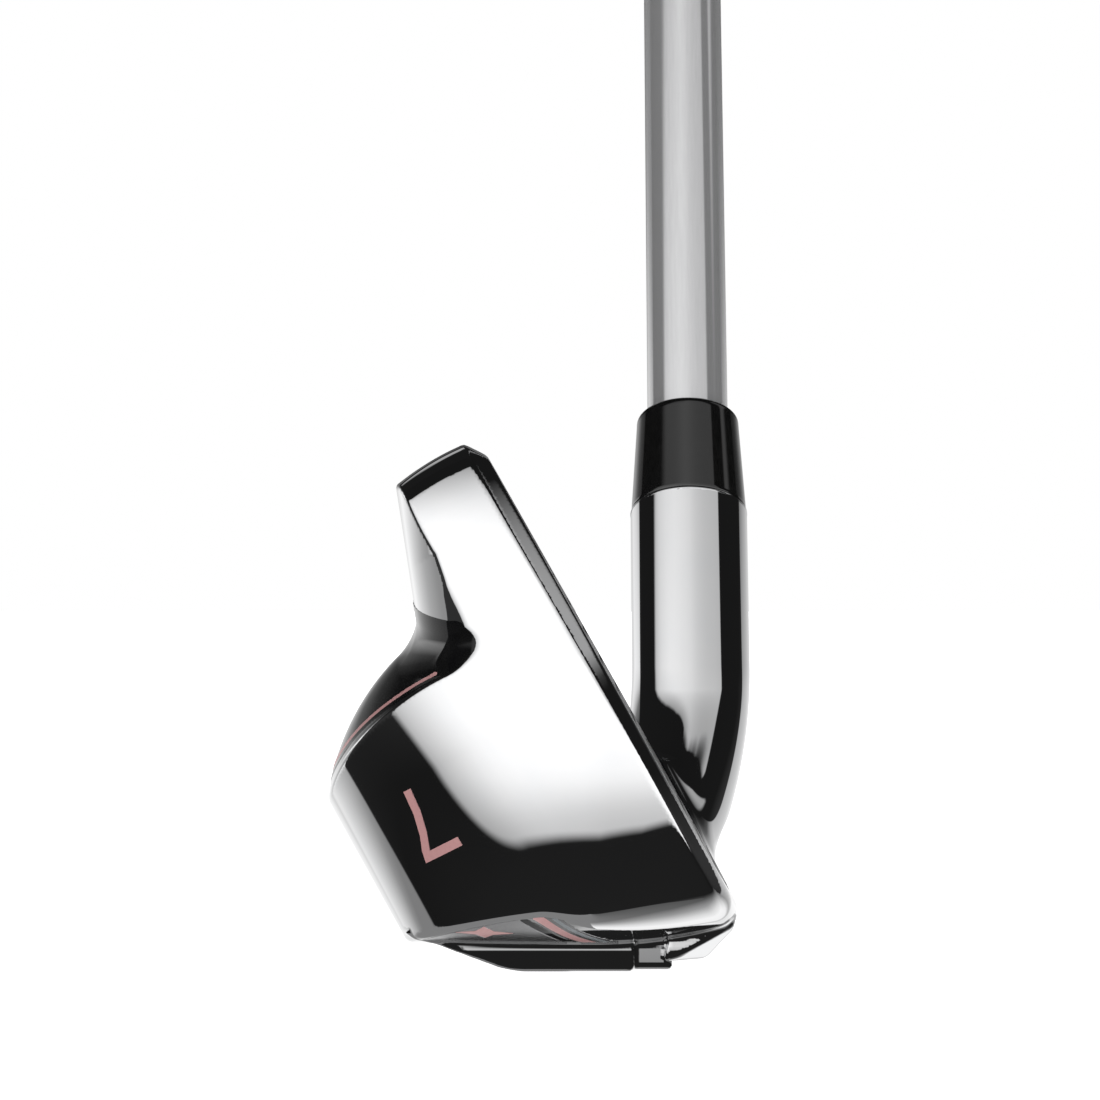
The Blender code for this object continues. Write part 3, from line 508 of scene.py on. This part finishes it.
def mesh_from(name, points, faces, normals=None):
    """A smooth mesh from arrays of points and of faces with the same number of corners."""
    mesh = bpy.data.meshes.new(name)
    mesh.vertices.add(len(points))
    mesh.vertices.foreach_set("co", (np.asarray(points) * MM).astype(np.float32).ravel())
    mesh.loops.add(faces.size)
    mesh.loops.foreach_set("vertex_index", faces.astype(np.int32).ravel())
    mesh.polygons.add(len(faces))
    mesh.polygons.foreach_set("loop_start", np.arange(0, faces.size, faces.shape[1], dtype=np.int32))
    mesh.update(calc_edges=True)
    mesh.validate()
    mesh.shade_smooth()
    if normals is not None:
        mesh.normals_split_custom_set_from_vertices(normals.astype(np.float32).tolist())
    return mesh


def normals_out(mesh):
    work = bmesh.new()
    work.from_mesh(mesh)
    bmesh.ops.recalc_face_normals(work, faces=work.faces)
    work.to_mesh(mesh)
    work.free()


def skinned(name, field, low, high, cell, material):
    """The surface of a field as a piece. What is part of the head shines like the whole head up to its edges."""
    points, faces = skin(field, low, high, cell)
    normals = gradient(field, points, 0.3 * cell)
    if hasattr(field, "proud"):
        top = head_field(*points.T) > field.proud - 0.12
        normals[top] = gradient(head_field, points[top], 0.1)
    normals /= np.linalg.norm(normals, axis=1)[:, None] + 1e-12
    return place(name, mesh_from(name, points, faces, normals), material)


def place(name, mesh, material, at=None):
    """Put a mesh in the scene, in the ground frame unless told otherwise."""
    obj = bpy.data.objects.new(name, mesh)
    bpy.context.scene.collection.objects.link(obj)
    obj.matrix_world = at if at is not None else Matrix.Translation(GROUND)
    mesh.materials.append(material)
    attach(obj, "root")
    return obj


def turned(name, profile, material, steps=128, sharp=35.0):
    """A closed (radius, height) profile spun round the shaft's axis; points with no radius become poles."""
    points, rings = [], []
    angles = [2 * pi * step / steps for step in range(steps)]
    for radius, height in profile:
        if radius < 1e-6:
            rings.append([len(points)] * steps)
            points.append((0.0, 0.0, height))
        else:
            rings.append([len(points) + step for step in range(steps)])
            points += [(radius * cos(a), radius * sin(a), height) for a in angles]
    faces = []
    for one, two in zip(rings, rings[1:] + rings[:1]):
        for step in range(steps):
            after = (step + 1) % steps
            face = []
            for corner in (one[step], one[after], two[after], two[step]):
                if corner not in face:
                    face.append(corner)
            if len(face) > 2:
                faces.append(face)
    mesh = bpy.data.meshes.new(name)
    mesh.from_pydata([[c * MM for c in point] for point in points], [], faces)
    normals_out(mesh)
    mesh.shade_smooth()
    mesh.set_sharp_from_angle(angle=radians(sharp))
    return place(name, mesh, material, UP_SHAFT)


def fillet(centre, radius, start, end, count=6):
    """(radius, height) points along an arc, angles in degrees."""
    angles = [radians(start + (end - start) * step / count) for step in range(count + 1)]
    return [(centre[0] + radius * cos(a), centre[1] + radius * sin(a)) for a in angles]


def add_mouth(piece):
    """Join the hosel's turned rim to the casting, overlapping it a little."""
    low = HOSEL_TOP - 0.6
    outer = HOSEL_RADIUS + 0.03
    mouth = turned("mouth", [(BORE_RADIUS, low), (outer - 0.3, low), (outer, low + 0.3)]
                   + fillet((outer - 0.2, HOSEL_TOP - 0.2), 0.2, 0, 90, 6)
                   + fillet((BORE_RADIUS + 0.2, HOSEL_TOP - 0.2), 0.2, 90, 180, 4), piece.data.materials[0], 192)
    work = bmesh.new()
    work.from_mesh(mouth.data)
    work.transform(piece.matrix_world.inverted() @ mouth.matrix_world)
    work.to_mesh(mouth.data)
    work.free()
    mouth.matrix_world = piece.matrix_world
    with bpy.context.temp_override(active_object=piece, selected_editable_objects=[piece, mouth]):
        bpy.ops.object.join()


# ---------------------------------------------------------------- materials

def node_material(name, colour, roughness, metallic=0.0, coat=0.0):
    material = bpy.data.materials.new(name)
    material.use_nodes = True
    shader = material.node_tree.nodes["Principled BSDF"]
    shader.inputs["Base Color"].default_value = (*colour, 1.0)
    shader.inputs["Roughness"].default_value = roughness
    shader.inputs["Metallic"].default_value = metallic
    shader.inputs["Coat Weight"].default_value = coat
    return material, material.node_tree, shader


def noise_node(tree, scale, detail=4.0, stretch=None):
    """A noise texture fixed to the object; stretch scales its axes apart, for brushed grain."""
    noise = tree.nodes.new("ShaderNodeTexNoise")
    noise.inputs["Scale"].default_value = scale
    noise.inputs["Detail"].default_value = detail
    where = tree.nodes.new("ShaderNodeTexCoord").outputs["Object"]
    if stretch:
        mapping = tree.nodes.new("ShaderNodeMapping")
        mapping.inputs["Scale"].default_value = stretch
        tree.links.new(where, mapping.inputs["Vector"])
        where = mapping.outputs["Vector"]
    tree.links.new(where, noise.inputs["Vector"])
    return noise.outputs["Fac"]


def spread(tree, source, low, high, target):
    """Map a 0 to 1 value onto a range and drive a socket with it."""
    span = tree.nodes.new("ShaderNodeMapRange")
    span.inputs["From Min"].default_value = 0.25
    span.inputs["From Max"].default_value = 0.75
    span.inputs["To Min"].default_value = low
    span.inputs["To Max"].default_value = high
    tree.links.new(source, span.inputs["Value"])
    tree.links.new(span.outputs["Result"], target)


def vary_colour(tree, source, one, two, shader):
    """Mix two close colours by a 0 to 1 value."""
    ramp_node = tree.nodes.new("ShaderNodeValToRGB")
    ramp_node.color_ramp.elements[0].position = 0.3
    ramp_node.color_ramp.elements[1].position = 0.7
    ramp_node.color_ramp.elements[0].color = (*one, 1.0)
    ramp_node.color_ramp.elements[1].color = (*two, 1.0)
    tree.links.new(source, ramp_node.inputs["Fac"])
    tree.links.new(ramp_node.outputs["Color"], shader.inputs["Base Color"])


def bumped(tree, source, shader, distance, strength=1.0):
    bump = tree.nodes.new("ShaderNodeBump")
    bump.inputs["Distance"].default_value = distance
    bump.inputs["Strength"].default_value = strength
    tree.links.new(source, bump.inputs["Height"])
    tree.links.new(bump.outputs["Normal"], shader.inputs["Normal"])


def finish(name, one, two, roughness, metallic=0.0, coat=0.0, scale=600.0, stretch=None, bump=0.0):
    """A material whose colour and roughness both vary a little with a fixed noise."""
    material, tree, shader = node_material(name, one, roughness[0], metallic, coat)
    source = noise_node(tree, scale, 5.0, stretch)
    vary_colour(tree, source, one, two, shader)
    spread(tree, source, roughness[0], roughness[1], shader.inputs["Roughness"])
    if bump:
        bumped(tree, source, shader, bump)
    return material, tree, shader


chrome = finish("chrome_polished", (0.90, 0.90, 0.905), (0.88, 0.885, 0.895), (0.02, 0.04), 1.0, scale=260.0)[0]
# the crown panel's own gloss black, also used for the painted groove shade on the sole
gloss = finish("gloss_black_panel_and_painted_groove_shade", (0.004, 0.004, 0.0045), (0.007, 0.007, 0.007), (0.04, 0.07), scale=500.0)[0]
rose = finish("rose_gold_paint", (0.80, 0.43, 0.42), (0.74, 0.38, 0.38), (0.28, 0.4), 0.3, 0.3, 3000.0)[0]
silver = finish("silver_blue_paint", (0.46, 0.50, 0.53), (0.40, 0.44, 0.47), (0.25, 0.4), 0.6, 0.3, 3000.0)[0]
satin = finish("badge_satin_nickel", (0.62, 0.62, 0.63), (0.55, 0.55, 0.56), (0.16, 0.26), 1.0, 0.0, 900.0,
               (1.0, 8.0, 1.0))[0]
steel = finish("face_steel_milled", (0.60, 0.60, 0.61), (0.52, 0.52, 0.53), (0.25, 0.38), 1.0, 0.0, 700.0,
               (1.0, 0.06, 1.0), 2e-6)[0]
ferrule_black = finish("ferrule_black", (0.004, 0.004, 0.004), (0.006, 0.006, 0.006), (0.06, 0.1), coat=1.0,
                       scale=900.0)[0]
lacquer = finish("shaft_grey_lacquer", (0.86, 0.86, 0.87), (0.82, 0.82, 0.83), (0.10, 0.13), 0.75, 0.2, 500.0,
                 (8.0, 8.0, 0.5))[0]
rubber = finish("grip_rubber", (0.014, 0.014, 0.015), (0.022, 0.022, 0.023), (0.6, 0.85), scale=1800.0, bump=3e-5)[0]
cap_rubber = finish("grip_cap_rubber", (0.02, 0.02, 0.021), (0.03, 0.03, 0.031), (0.45, 0.6), scale=1500.0,
                    bump=2e-5)[0]

INNER = {
    "toe_weight": finish("tungsten_sintered", (0.30, 0.30, 0.31), (0.24, 0.24, 0.25), (0.4, 0.55), 1.0,
                         scale=2500.0, bump=1e-5)[0],
    "face_damper": finish("elastomer_grey", (0.15, 0.15, 0.16), (0.19, 0.19, 0.20), (0.55, 0.7), scale=1200.0,
                          bump=2e-5)[0],
    "hosel_bond": finish("epoxy_amber", (0.68, 0.60, 0.40), (0.60, 0.51, 0.32), (0.3, 0.5), scale=900.0)[0],
    "tip_weight": finish("brass_turned", (0.80, 0.60, 0.25), (0.74, 0.54, 0.22), (0.22, 0.35), 1.0, 0.0, 900.0,
                         (0.1, 0.1, 6.0))[0],
    "tip_plug": finish("plug_rubber", (0.09, 0.075, 0.065), (0.12, 0.10, 0.09), (0.7, 0.85), scale=2000.0)[0],
    "grip_tape": finish("paper_tape", (0.76, 0.73, 0.63), (0.68, 0.65, 0.54), (0.7, 0.85), scale=1500.0,
                        bump=2e-5)[0],
}

PIECES = [
    # name, CAD node, slot, field, low corner, high corner, cell, material
    ("head_body_cast", "head_body", "chrome", body_field, (-41, -83, -1.5), (9.5, 33, 60), CELL, chrome),
    ("face_plate_scored", "face_plate", "face_steel", face_field, (-25, -81, 2), (8, -14, 55), CELL * 0.9, steel),
    ("crown_panel_gloss", "crown_panel", "gloss_black", layer(panel_zone, 0.08, 0.65, 0.1),
     (-40, -79, 15), (-12, -10, 44), CELL * 0.7, gloss),
    ("crown_line_inlay", "crown_line", "rose_gold", layer(line_zone, 0.12, 0.3), (-40, -79, 15), (-22, -17, 36),
     CELL * 0.5, rose),
    ("number_seven_fill", "number_seven", "rose_gold", layer(seven_zone, 0.04, 0.3, 0.05), (-33, -80, 9),
     (-21, -55, 24), CELL * 0.3, rose),
    ("sole_badge", "sole_badge_plate", "satin_nickel", layer(plate_zone, 0.03, 0.33), (-30, -77, 1), (-9, -56, 12),
     CELL * 0.4, satin),
    ("sole_star", "sole_emblem", "rose_gold", layer(star_zone, 0.04, 0.3), (-26, -69, 1), (-18, -60, 12),
     CELL * 0.3, rose),
    # painted shade: a glossy black strip laid a little proud on the sole between the band and the badge, standing in
    # for the shadow in the groove there
    ("sole_crescent_painted_shade", "sole_groove_strip", "gloss_black",
     layer(lambda x, y, z: badge_zone(x, y, z, 3.95, 4.9, -70.5, -58.3, 0.3), 0.05, 0.33),
     (-24, -77, 1), (-9, -56, 12), CELL * 0.3, gloss),
    ("sole_band_satin", "sole_band", "satin_nickel",
     layer(lambda x, y, z: badge_zone(x, y, z, 0.3, 3.8), 0.03, 0.33), (-22, -77, 1), (-7, -56, 12),
     CELL * 0.4, satin),
    ("sole_stripe_rose_fill", "sole_stripe_rose", "rose_gold",
     layer(lambda x, y, z: badge_zone(x, y, z, 2.1, 3.45, -77, -58.6), 0.05, 0.2), (-22, -77, 1), (-7, -56, 12),
     CELL * 0.3, rose),
    ("sole_stripe_silver_fill", "sole_stripe_silver", "silver_blue",
     layer(lambda x, y, z: badge_zone(x, y, z, 0.8, 1.5, -77, -58.6), 0.05, 0.2), (-22, -77, 1), (-7, -56, 12),
     CELL * 0.3, silver),
]
for name, node, slot_name, field, low, high, cell, material in PIECES:
    piece = skinned(name, field, low, high, cell, material)
    if node == "head_body":
        add_mouth(piece)
    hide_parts(node)


# ---------------------------------------------------------------- shaft and grip

def shaft_radius(height):
    share = max(0.0, (height - TIP_PARALLEL) / (GRIP_BUTT - TIP_PARALLEL))
    return TIP_RADIUS + (BUTT_RADIUS - TIP_RADIUS) * share


def grip_outer(height):
    share = (height - GRIP_MOUTH) / (GRIP_BUTT - 0.1 - GRIP_MOUTH)
    return 8.1 + 4.8 * share ** 0.85


tip = BORE_BOTTOM + 0.6
butt = GRIP_BUTT - 0.3
shaft = turned("shaft_tube", [(shaft_radius(butt) - 0.1, butt), (shaft_radius(butt), butt - 0.3),
                              (TIP_RADIUS, TIP_PARALLEL), (TIP_RADIUS, tip + 0.5), (TIP_RADIUS - 0.5, tip),
                              (TIP_RADIUS - SHAFT_WALL, tip), (TIP_RADIUS - SHAFT_WALL, TIP_PARALLEL),
                              (BUTT_RADIUS - 1.3, butt)], lacquer, 160)
ferrule = turned("ferrule_collar", [(TIP_RADIUS + 0.05, FERRULE_TOP - 0.1)]
                 + fillet((5.95 - 0.85, FERRULE_TOP - 0.85), 0.85, 90, 3.5, 10)
                 + [(5.96, FERRULE_TOP - 1.1), (6.64, HOSEL_TOP + 0.5)]
                 + fillet((HOSEL_RADIUS - 0.24, HOSEL_TOP + 0.2), 0.15, 0, -90, 4)
                 + [(TIP_RADIUS + 0.05, HOSEL_TOP + 0.05)], ferrule_black, 160)
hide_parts("shaft")
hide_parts("ferrule")

vent = 0.9
cap_top = CLUB_LENGTH
cap = turned("grip_end_cap", [(vent, GRIP_BUTT), (vent, cap_top - 1.0)]
             + fillet((vent + 0.7, cap_top - 1.0), 0.7, 180, 110, 4)
             + [(3.2, cap_top - 0.25), (3.5, cap_top - 0.6), (3.9, cap_top - 0.6), (4.2, cap_top - 0.2),
                (8.2, cap_top - 0.1), (8.5, cap_top - 0.5), (8.9, cap_top - 0.5), (9.2, cap_top - 0.15)]
             + fillet((10.2, cap_top - 2.9), 2.8, 80, 0, 8) + [(13.1, GRIP_BUTT + 0.5)]
             + fillet((12.8, GRIP_BUTT + 0.3), 0.3, 0, -90, 3), cap_rubber, 128)
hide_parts("grip_cap")


def grip_sleeve():
    """The rubber sleeve: plain ends, fine ribs and fields of short raised ticks between them."""
    steps = 240
    pitch = 0.42
    heights = np.arange(GRIP_MOUTH + 0.6, GRIP_BUTT - 0.1, pitch)
    angle = 2 * pi * np.arange(steps) / steps
    hh, aa = np.meshgrid(heights, angle, indexing="ij")
    radius = np.vectorize(grip_outer)(heights)[:, None] * np.ones((1, steps))
    row = np.floor(hh / TICK_PITCH)
    across = (aa * TICKS_ROUND / (2 * pi) + 0.5 * (row % 2)) % 1.0 - 0.5
    along = (hh / TICK_PITCH) % 1.0 - 0.5
    tick = smoothstep(np.maximum(np.abs(across) - 0.10, np.abs(along) - 0.28), 0.06, -0.02)
    tock = smoothstep(np.maximum(np.abs(across) - 0.28, np.abs(along) - 0.10), 0.06, -0.02)
    raised = np.maximum(tick, tock)
    middle = smoothstep(hh, GRIP_MOUTH + 16.0, GRIP_MOUTH + 17.0) * smoothstep(hh, GRIP_BUTT - 12.0, GRIP_BUTT - 13.0)
    rings = (GRIP_MOUTH + 7.0, GRIP_MOUTH + 9.6, GRIP_MOUTH + 12.2, GRIP_BUTT - 6.5, GRIP_BUTT - 9.0)
    ring = sum(smoothstep(np.abs(hh - at), 0.9, 0.4) for at in rings)
    radius = radius - 0.28 * middle * (1.0 - raised) - 0.22 * np.minimum(ring, 1.0)
    outer = np.stack([radius * np.cos(aa), radius * np.sin(aa), hh], -1).reshape(-1, 3)
    bore_low, bore_high = (shaft_radius(h) + 0.28 for h in (GRIP_MOUTH, GRIP_BUTT - 0.1))
    ends = []
    for r, h in ((8.0 - 0.2, GRIP_MOUTH + 0.2), (8.1 - 0.9, GRIP_MOUTH), (bore_low, GRIP_MOUTH),
                 (bore_high, GRIP_BUTT - 0.1), (12.8, GRIP_BUTT - 0.1)):
        ends.append(np.stack([r * np.cos(angle), r * np.sin(angle), np.full(steps, h)], -1))
    points = np.concatenate([outer] + ends)
    count = len(heights)
    strip = list(range(count - 1, -1, -1)) + list(range(count, count + len(ends)))
    faces = []
    step = np.arange(steps)
    for one, two in zip(strip, strip[1:] + strip[:1]):
        faces.append(np.stack([one * steps + step, two * steps + step, two * steps + (step + 1) % steps,
                               one * steps + (step + 1) % steps], 1))
    mesh = mesh_from("grip_sleeve_ticked", points, np.concatenate(faces))
    normals_out(mesh)
    return place("grip_sleeve_ticked", mesh, rubber, UP_SHAFT)


sleeve = grip_sleeve()
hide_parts("grip_sleeve")

for obj in bpy.context.scene.objects:
    if obj.type == "MESH" and obj.name in INNER:
        for item in obj.material_slots:
            item.material = INNER[obj.name]


# ---------------------------------------------------------------- light, floor and camera

scene = bpy.context.scene
scene.view_settings.view_transform = "Standard"
world = bpy.data.worlds.new("studio")
scene.world = world
world.use_nodes = True
tree = world.node_tree
nodes, links = tree.nodes, tree.links


def calc(operation, *inputs, clamp=False):
    """A math node of numbers and sockets."""
    node = nodes.new("ShaderNodeMath")
    node.operation = operation
    node.use_clamp = clamp
    for socket, item in zip(node.inputs, inputs):
        if isinstance(item, (int, float)):
            socket.default_value = item
        else:
            links.new(item, socket)
    return node.outputs[0]


def times(first, *others):
    for item in others:
        first = calc("MULTIPLY", first, item)
    return first


def larger(first, *others):
    for item in others:
        first = calc("MAXIMUM", first, item)
    return first


def minus(one, two):
    return calc("SUBTRACT", one, two)


def ramp(item, low, high, to_low=0.0, to_high=1.0):
    """A smooth step between two values."""
    node = nodes.new("ShaderNodeMapRange")
    node.interpolation_type = "SMOOTHSTEP"
    links.new(item, node.inputs["Value"])
    for key, number in (("From Min", low), ("From Max", high), ("To Min", to_low), ("To Max", to_high)):
        node.inputs[key].default_value = number
    return node.outputs["Result"]


def stops(item, *pairs):
    """A value read off straight lines between (angle in degrees, brightness) stops."""
    low, high = pairs[0][0], pairs[-1][0]
    node = nodes.new("ShaderNodeValToRGB")
    bar = node.color_ramp
    for at, number in pairs[1:-1]:
        bar.elements.new((at - low) / (high - low))
    for element, (at, number) in zip(bar.elements, pairs):
        element.position = (at - low) / (high - low)
        element.color = (number, number, number, 1.0)
    links.new(calc("DIVIDE", minus(item, low), high - low, clamp=True), node.inputs["Fac"])
    return node.outputs["Color"]


def outline(item, *pairs):
    """A light's edge, read off straight lines between (angle, angle) stops; the second angles share one sign."""
    scale = -100.0 if pairs[0][1] < 0 else 100.0
    return times(stops(item, *[(at, angle / scale) for at, angle in pairs]), scale)


# directions in degrees: turn is 0 on the camera's side and runs round over +X; rise is above the horizon
split = nodes.new("ShaderNodeSeparateXYZ")
links.new(nodes.new("ShaderNodeTexCoord").outputs["Generated"], split.inputs[0])
east, north, up = split.outputs
turn = times(calc("ARCTAN2", east, times(north, -1.0)), 180 / pi)
rise = times(calc("ARCSINE", up), 180 / pi)
away = calc("ABSOLUTE", turn)

# the large front card: sharp sides, a soft rounded lower corner, and a fall-off towards its edges
CARD_CORNER = 16.0
edge = outline(rise, (-60, -60), (-45, -64), (-33, -71.5), (-20, -80), (0, -88), (22, -90), (32, -89), (38, -86),
               (44, -80), (50, -72), (56, -61), (62, -48), (70, -20))
inward = minus(turn, edge)
left = larger(minus(CARD_CORNER, inward), 0.0)
foot = outline(turn, (-90, -43), (-45, -44), (-28, -45.5), (-7, -48), (14, -47.5), (28, -45), (40, -40), (70, -26))
below = larger(calc("ADD", minus(foot, rise), CARD_CORNER), 0.0)
corner = minus(calc("SQRT", calc("ADD", times(left, left), times(below, below))), CARD_CORNER)
head = outline(turn, (-95, 71), (-20, 71), (0, 72.5), (10, 72.5), (28, 69.5), (45, 65), (57, 59), (68, 53), (76, 48))
card = times(ramp(corner, -2.0, 3.0, 1.0, 0.0), ramp(turn, 75.0, 77.0, 1.0, 0.0),
             ramp(minus(rise, head), -1.5, 1.5, 1.0, 0.0),
             stops(inward, (0, 0.42), (5, 0.56), (10, 0.66), (16, 0.78), (22, 0.89), (28, 0.96), (36, 1.0)))
shade = stops(turn, (-15, 1.0), (0, 0.95), (10, 0.87), (20, 0.79), (42, 0.64), (75, 0.44))
fall = stops(rise, (-50, 0.50), (-44, 0.55), (-40, 0.60), (-37, 0.66), (-33, 0.77), (-29, 0.88), (-25, 0.95),
             (-18, 1.0), (36, 1.0), (42, 0.90), (48, 0.78), (55, 0.66), (62, 0.57), (70, 0.5))
card = times(card, larger(shade, ramp(rise, 10.0, 35.0, 0.96, 0.0)), fall, 1.18)

# the backdrop behind the club, bright up to a little over the horizon, higher at its sides
top = outline(away, (120, 16), (127, 15), (142, 11), (155, 8), (165, 5), (180, 3))
backdrop = stops(rise, (-60, 0.20), (-27, 0.20), (-25, 0.27), (-23, 0.40), (-21, 0.52), (-19, 0.62), (-16, 0.76),
                 (-12, 0.87), (-8, 0.95), (-4, 1.0), (90, 1.0))
over = stops(minus(rise, top), (-40, 1.0), (-8, 1.0), (-4, 0.7), (0, 0.18), (4, 0.06), (9, 0.01), (90, 0.008))
right = stops(turn, (-180, 1.0), (0, 1.0), (125, 0.40), (150, 0.60), (170, 0.90), (180, 1.0))
right = larger(times(ramp(turn, 0.0, 1.0), right), ramp(turn, 0.0, 1.0, 1.0, 0.0))
blade = stops(turn, (-180, 1.0), (-162, 0.90), (-150, 0.62), (-140, 0.40), (-130, 0.27), (-110, 0.25), (0, 1.0),
              (180, 1.0))
blade = larger(blade, ramp(rise, -2.0, 4.0), ramp(rise, -9.0, -16.0))
backdrop = times(backdrop, over, ramp(away, 125.5, 127.5), right, blade, 1.1)

# a small grey card high on the target side
lower = outline(turn, (60, 42), (76, 41), (84, 40), (90, 36), (96, 30), (102, 26.5), (150, 25))
upper = outline(turn, (60, 44), (92, 48), (104, 54), (150, 56))
side = stops(turn, (97, 0.0), (100, 0.36), (107, 0.38), (113, 0.32), (119, 0.24), (125, 0.12), (131, 0.0))
side = times(side, ramp(minus(rise, lower), 0.0, 5.0), ramp(minus(rise, upper), -2.0, 3.0, 1.0, 0.0))

# a low strip behind the top line, the lit floor in front of the sole's leading edge, and the dim room
strip = times(ramp(rise, 20.0, 24.0), ramp(rise, 32.0, 35.0, 1.0, 0.0),
              stops(turn, (-176, 0.0), (-172, 0.40), (-158, 0.40), (-152, 0.0)))
under = stops(rise, (-85, 0.02), (-72, 0.04), (-64, 0.12), (-55, 0.36), (-46, 0.78), (-38, 1.0), (-27, 0.95),
              (-18, 0.4))
under = times(under, ramp(rise, -17.0, -19.0), ramp(turn, 105.0, 150.0))
room = stops(rise, (-90, 0.015), (-50, 0.013), (-30, 0.0095), (-10, 0.03), (0, 0.035), (15, 0.010), (90, 0.008))

# reflections see those lights; the camera and the matt surfaces see an even white
studio = larger(card, backdrop, side, strip, under, room)
ray = nodes.new("ShaderNodeLightPath")
seen, matt = ray.outputs["Is Camera Ray"], ray.outputs["Is Diffuse Ray"]
strength = calc("ADD", times(studio, minus(1.0, larger(seen, matt))), larger(seen, times(matt, 0.85)))
links.new(strength, nodes["Background"].inputs["Strength"])
nodes["Background"].inputs["Color"].default_value = (1, 1, 1, 1)

floor = bpy.data.objects.new("floor", bpy.data.meshes.new("floor"))
work = bmesh.new()
bmesh.ops.create_circle(work, cap_ends=True, radius=3.0, segments=96)
work.to_mesh(floor.data)
work.free()
scene.collection.objects.link(floor)
floor.location = GROUND + Vector((0.0, 0.0, -0.4)) * MM
paper, _, paper_shader = finish("studio_floor", (0.93, 0.93, 0.93), (0.90, 0.90, 0.90), (0.7, 0.8), scale=40.0)
paper_shader.inputs["Emission Color"].default_value = (1.0, 1.0, 1.0, 1.0)
paper_shader.inputs["Emission Strength"].default_value = 1.0
floor.data.materials.append(paper)
floor.visible_glossy = False
floor.visible_diffuse = False
floor.visible_shadow = False

camera = bpy.data.cameras.new("camera")
camera.sensor_width = 36.0
camera.lens = camera.sensor_width * 50.0 / 11.0  # 11 mm wide at 50 mm away
camera.clip_start = 0.05
seat = bpy.data.objects.new("camera", camera)
scene.collection.objects.link(seat)
seat.location = GROUND + Vector((-13.9, -555.7, 43.26)) * MM
yaw = radians(0.2177)
seat.rotation_euler = Vector((-sin(yaw), cos(yaw), 0.0)).to_track_quat("-Z", "Y").to_euler()
bpy.context.scene.camera = seat
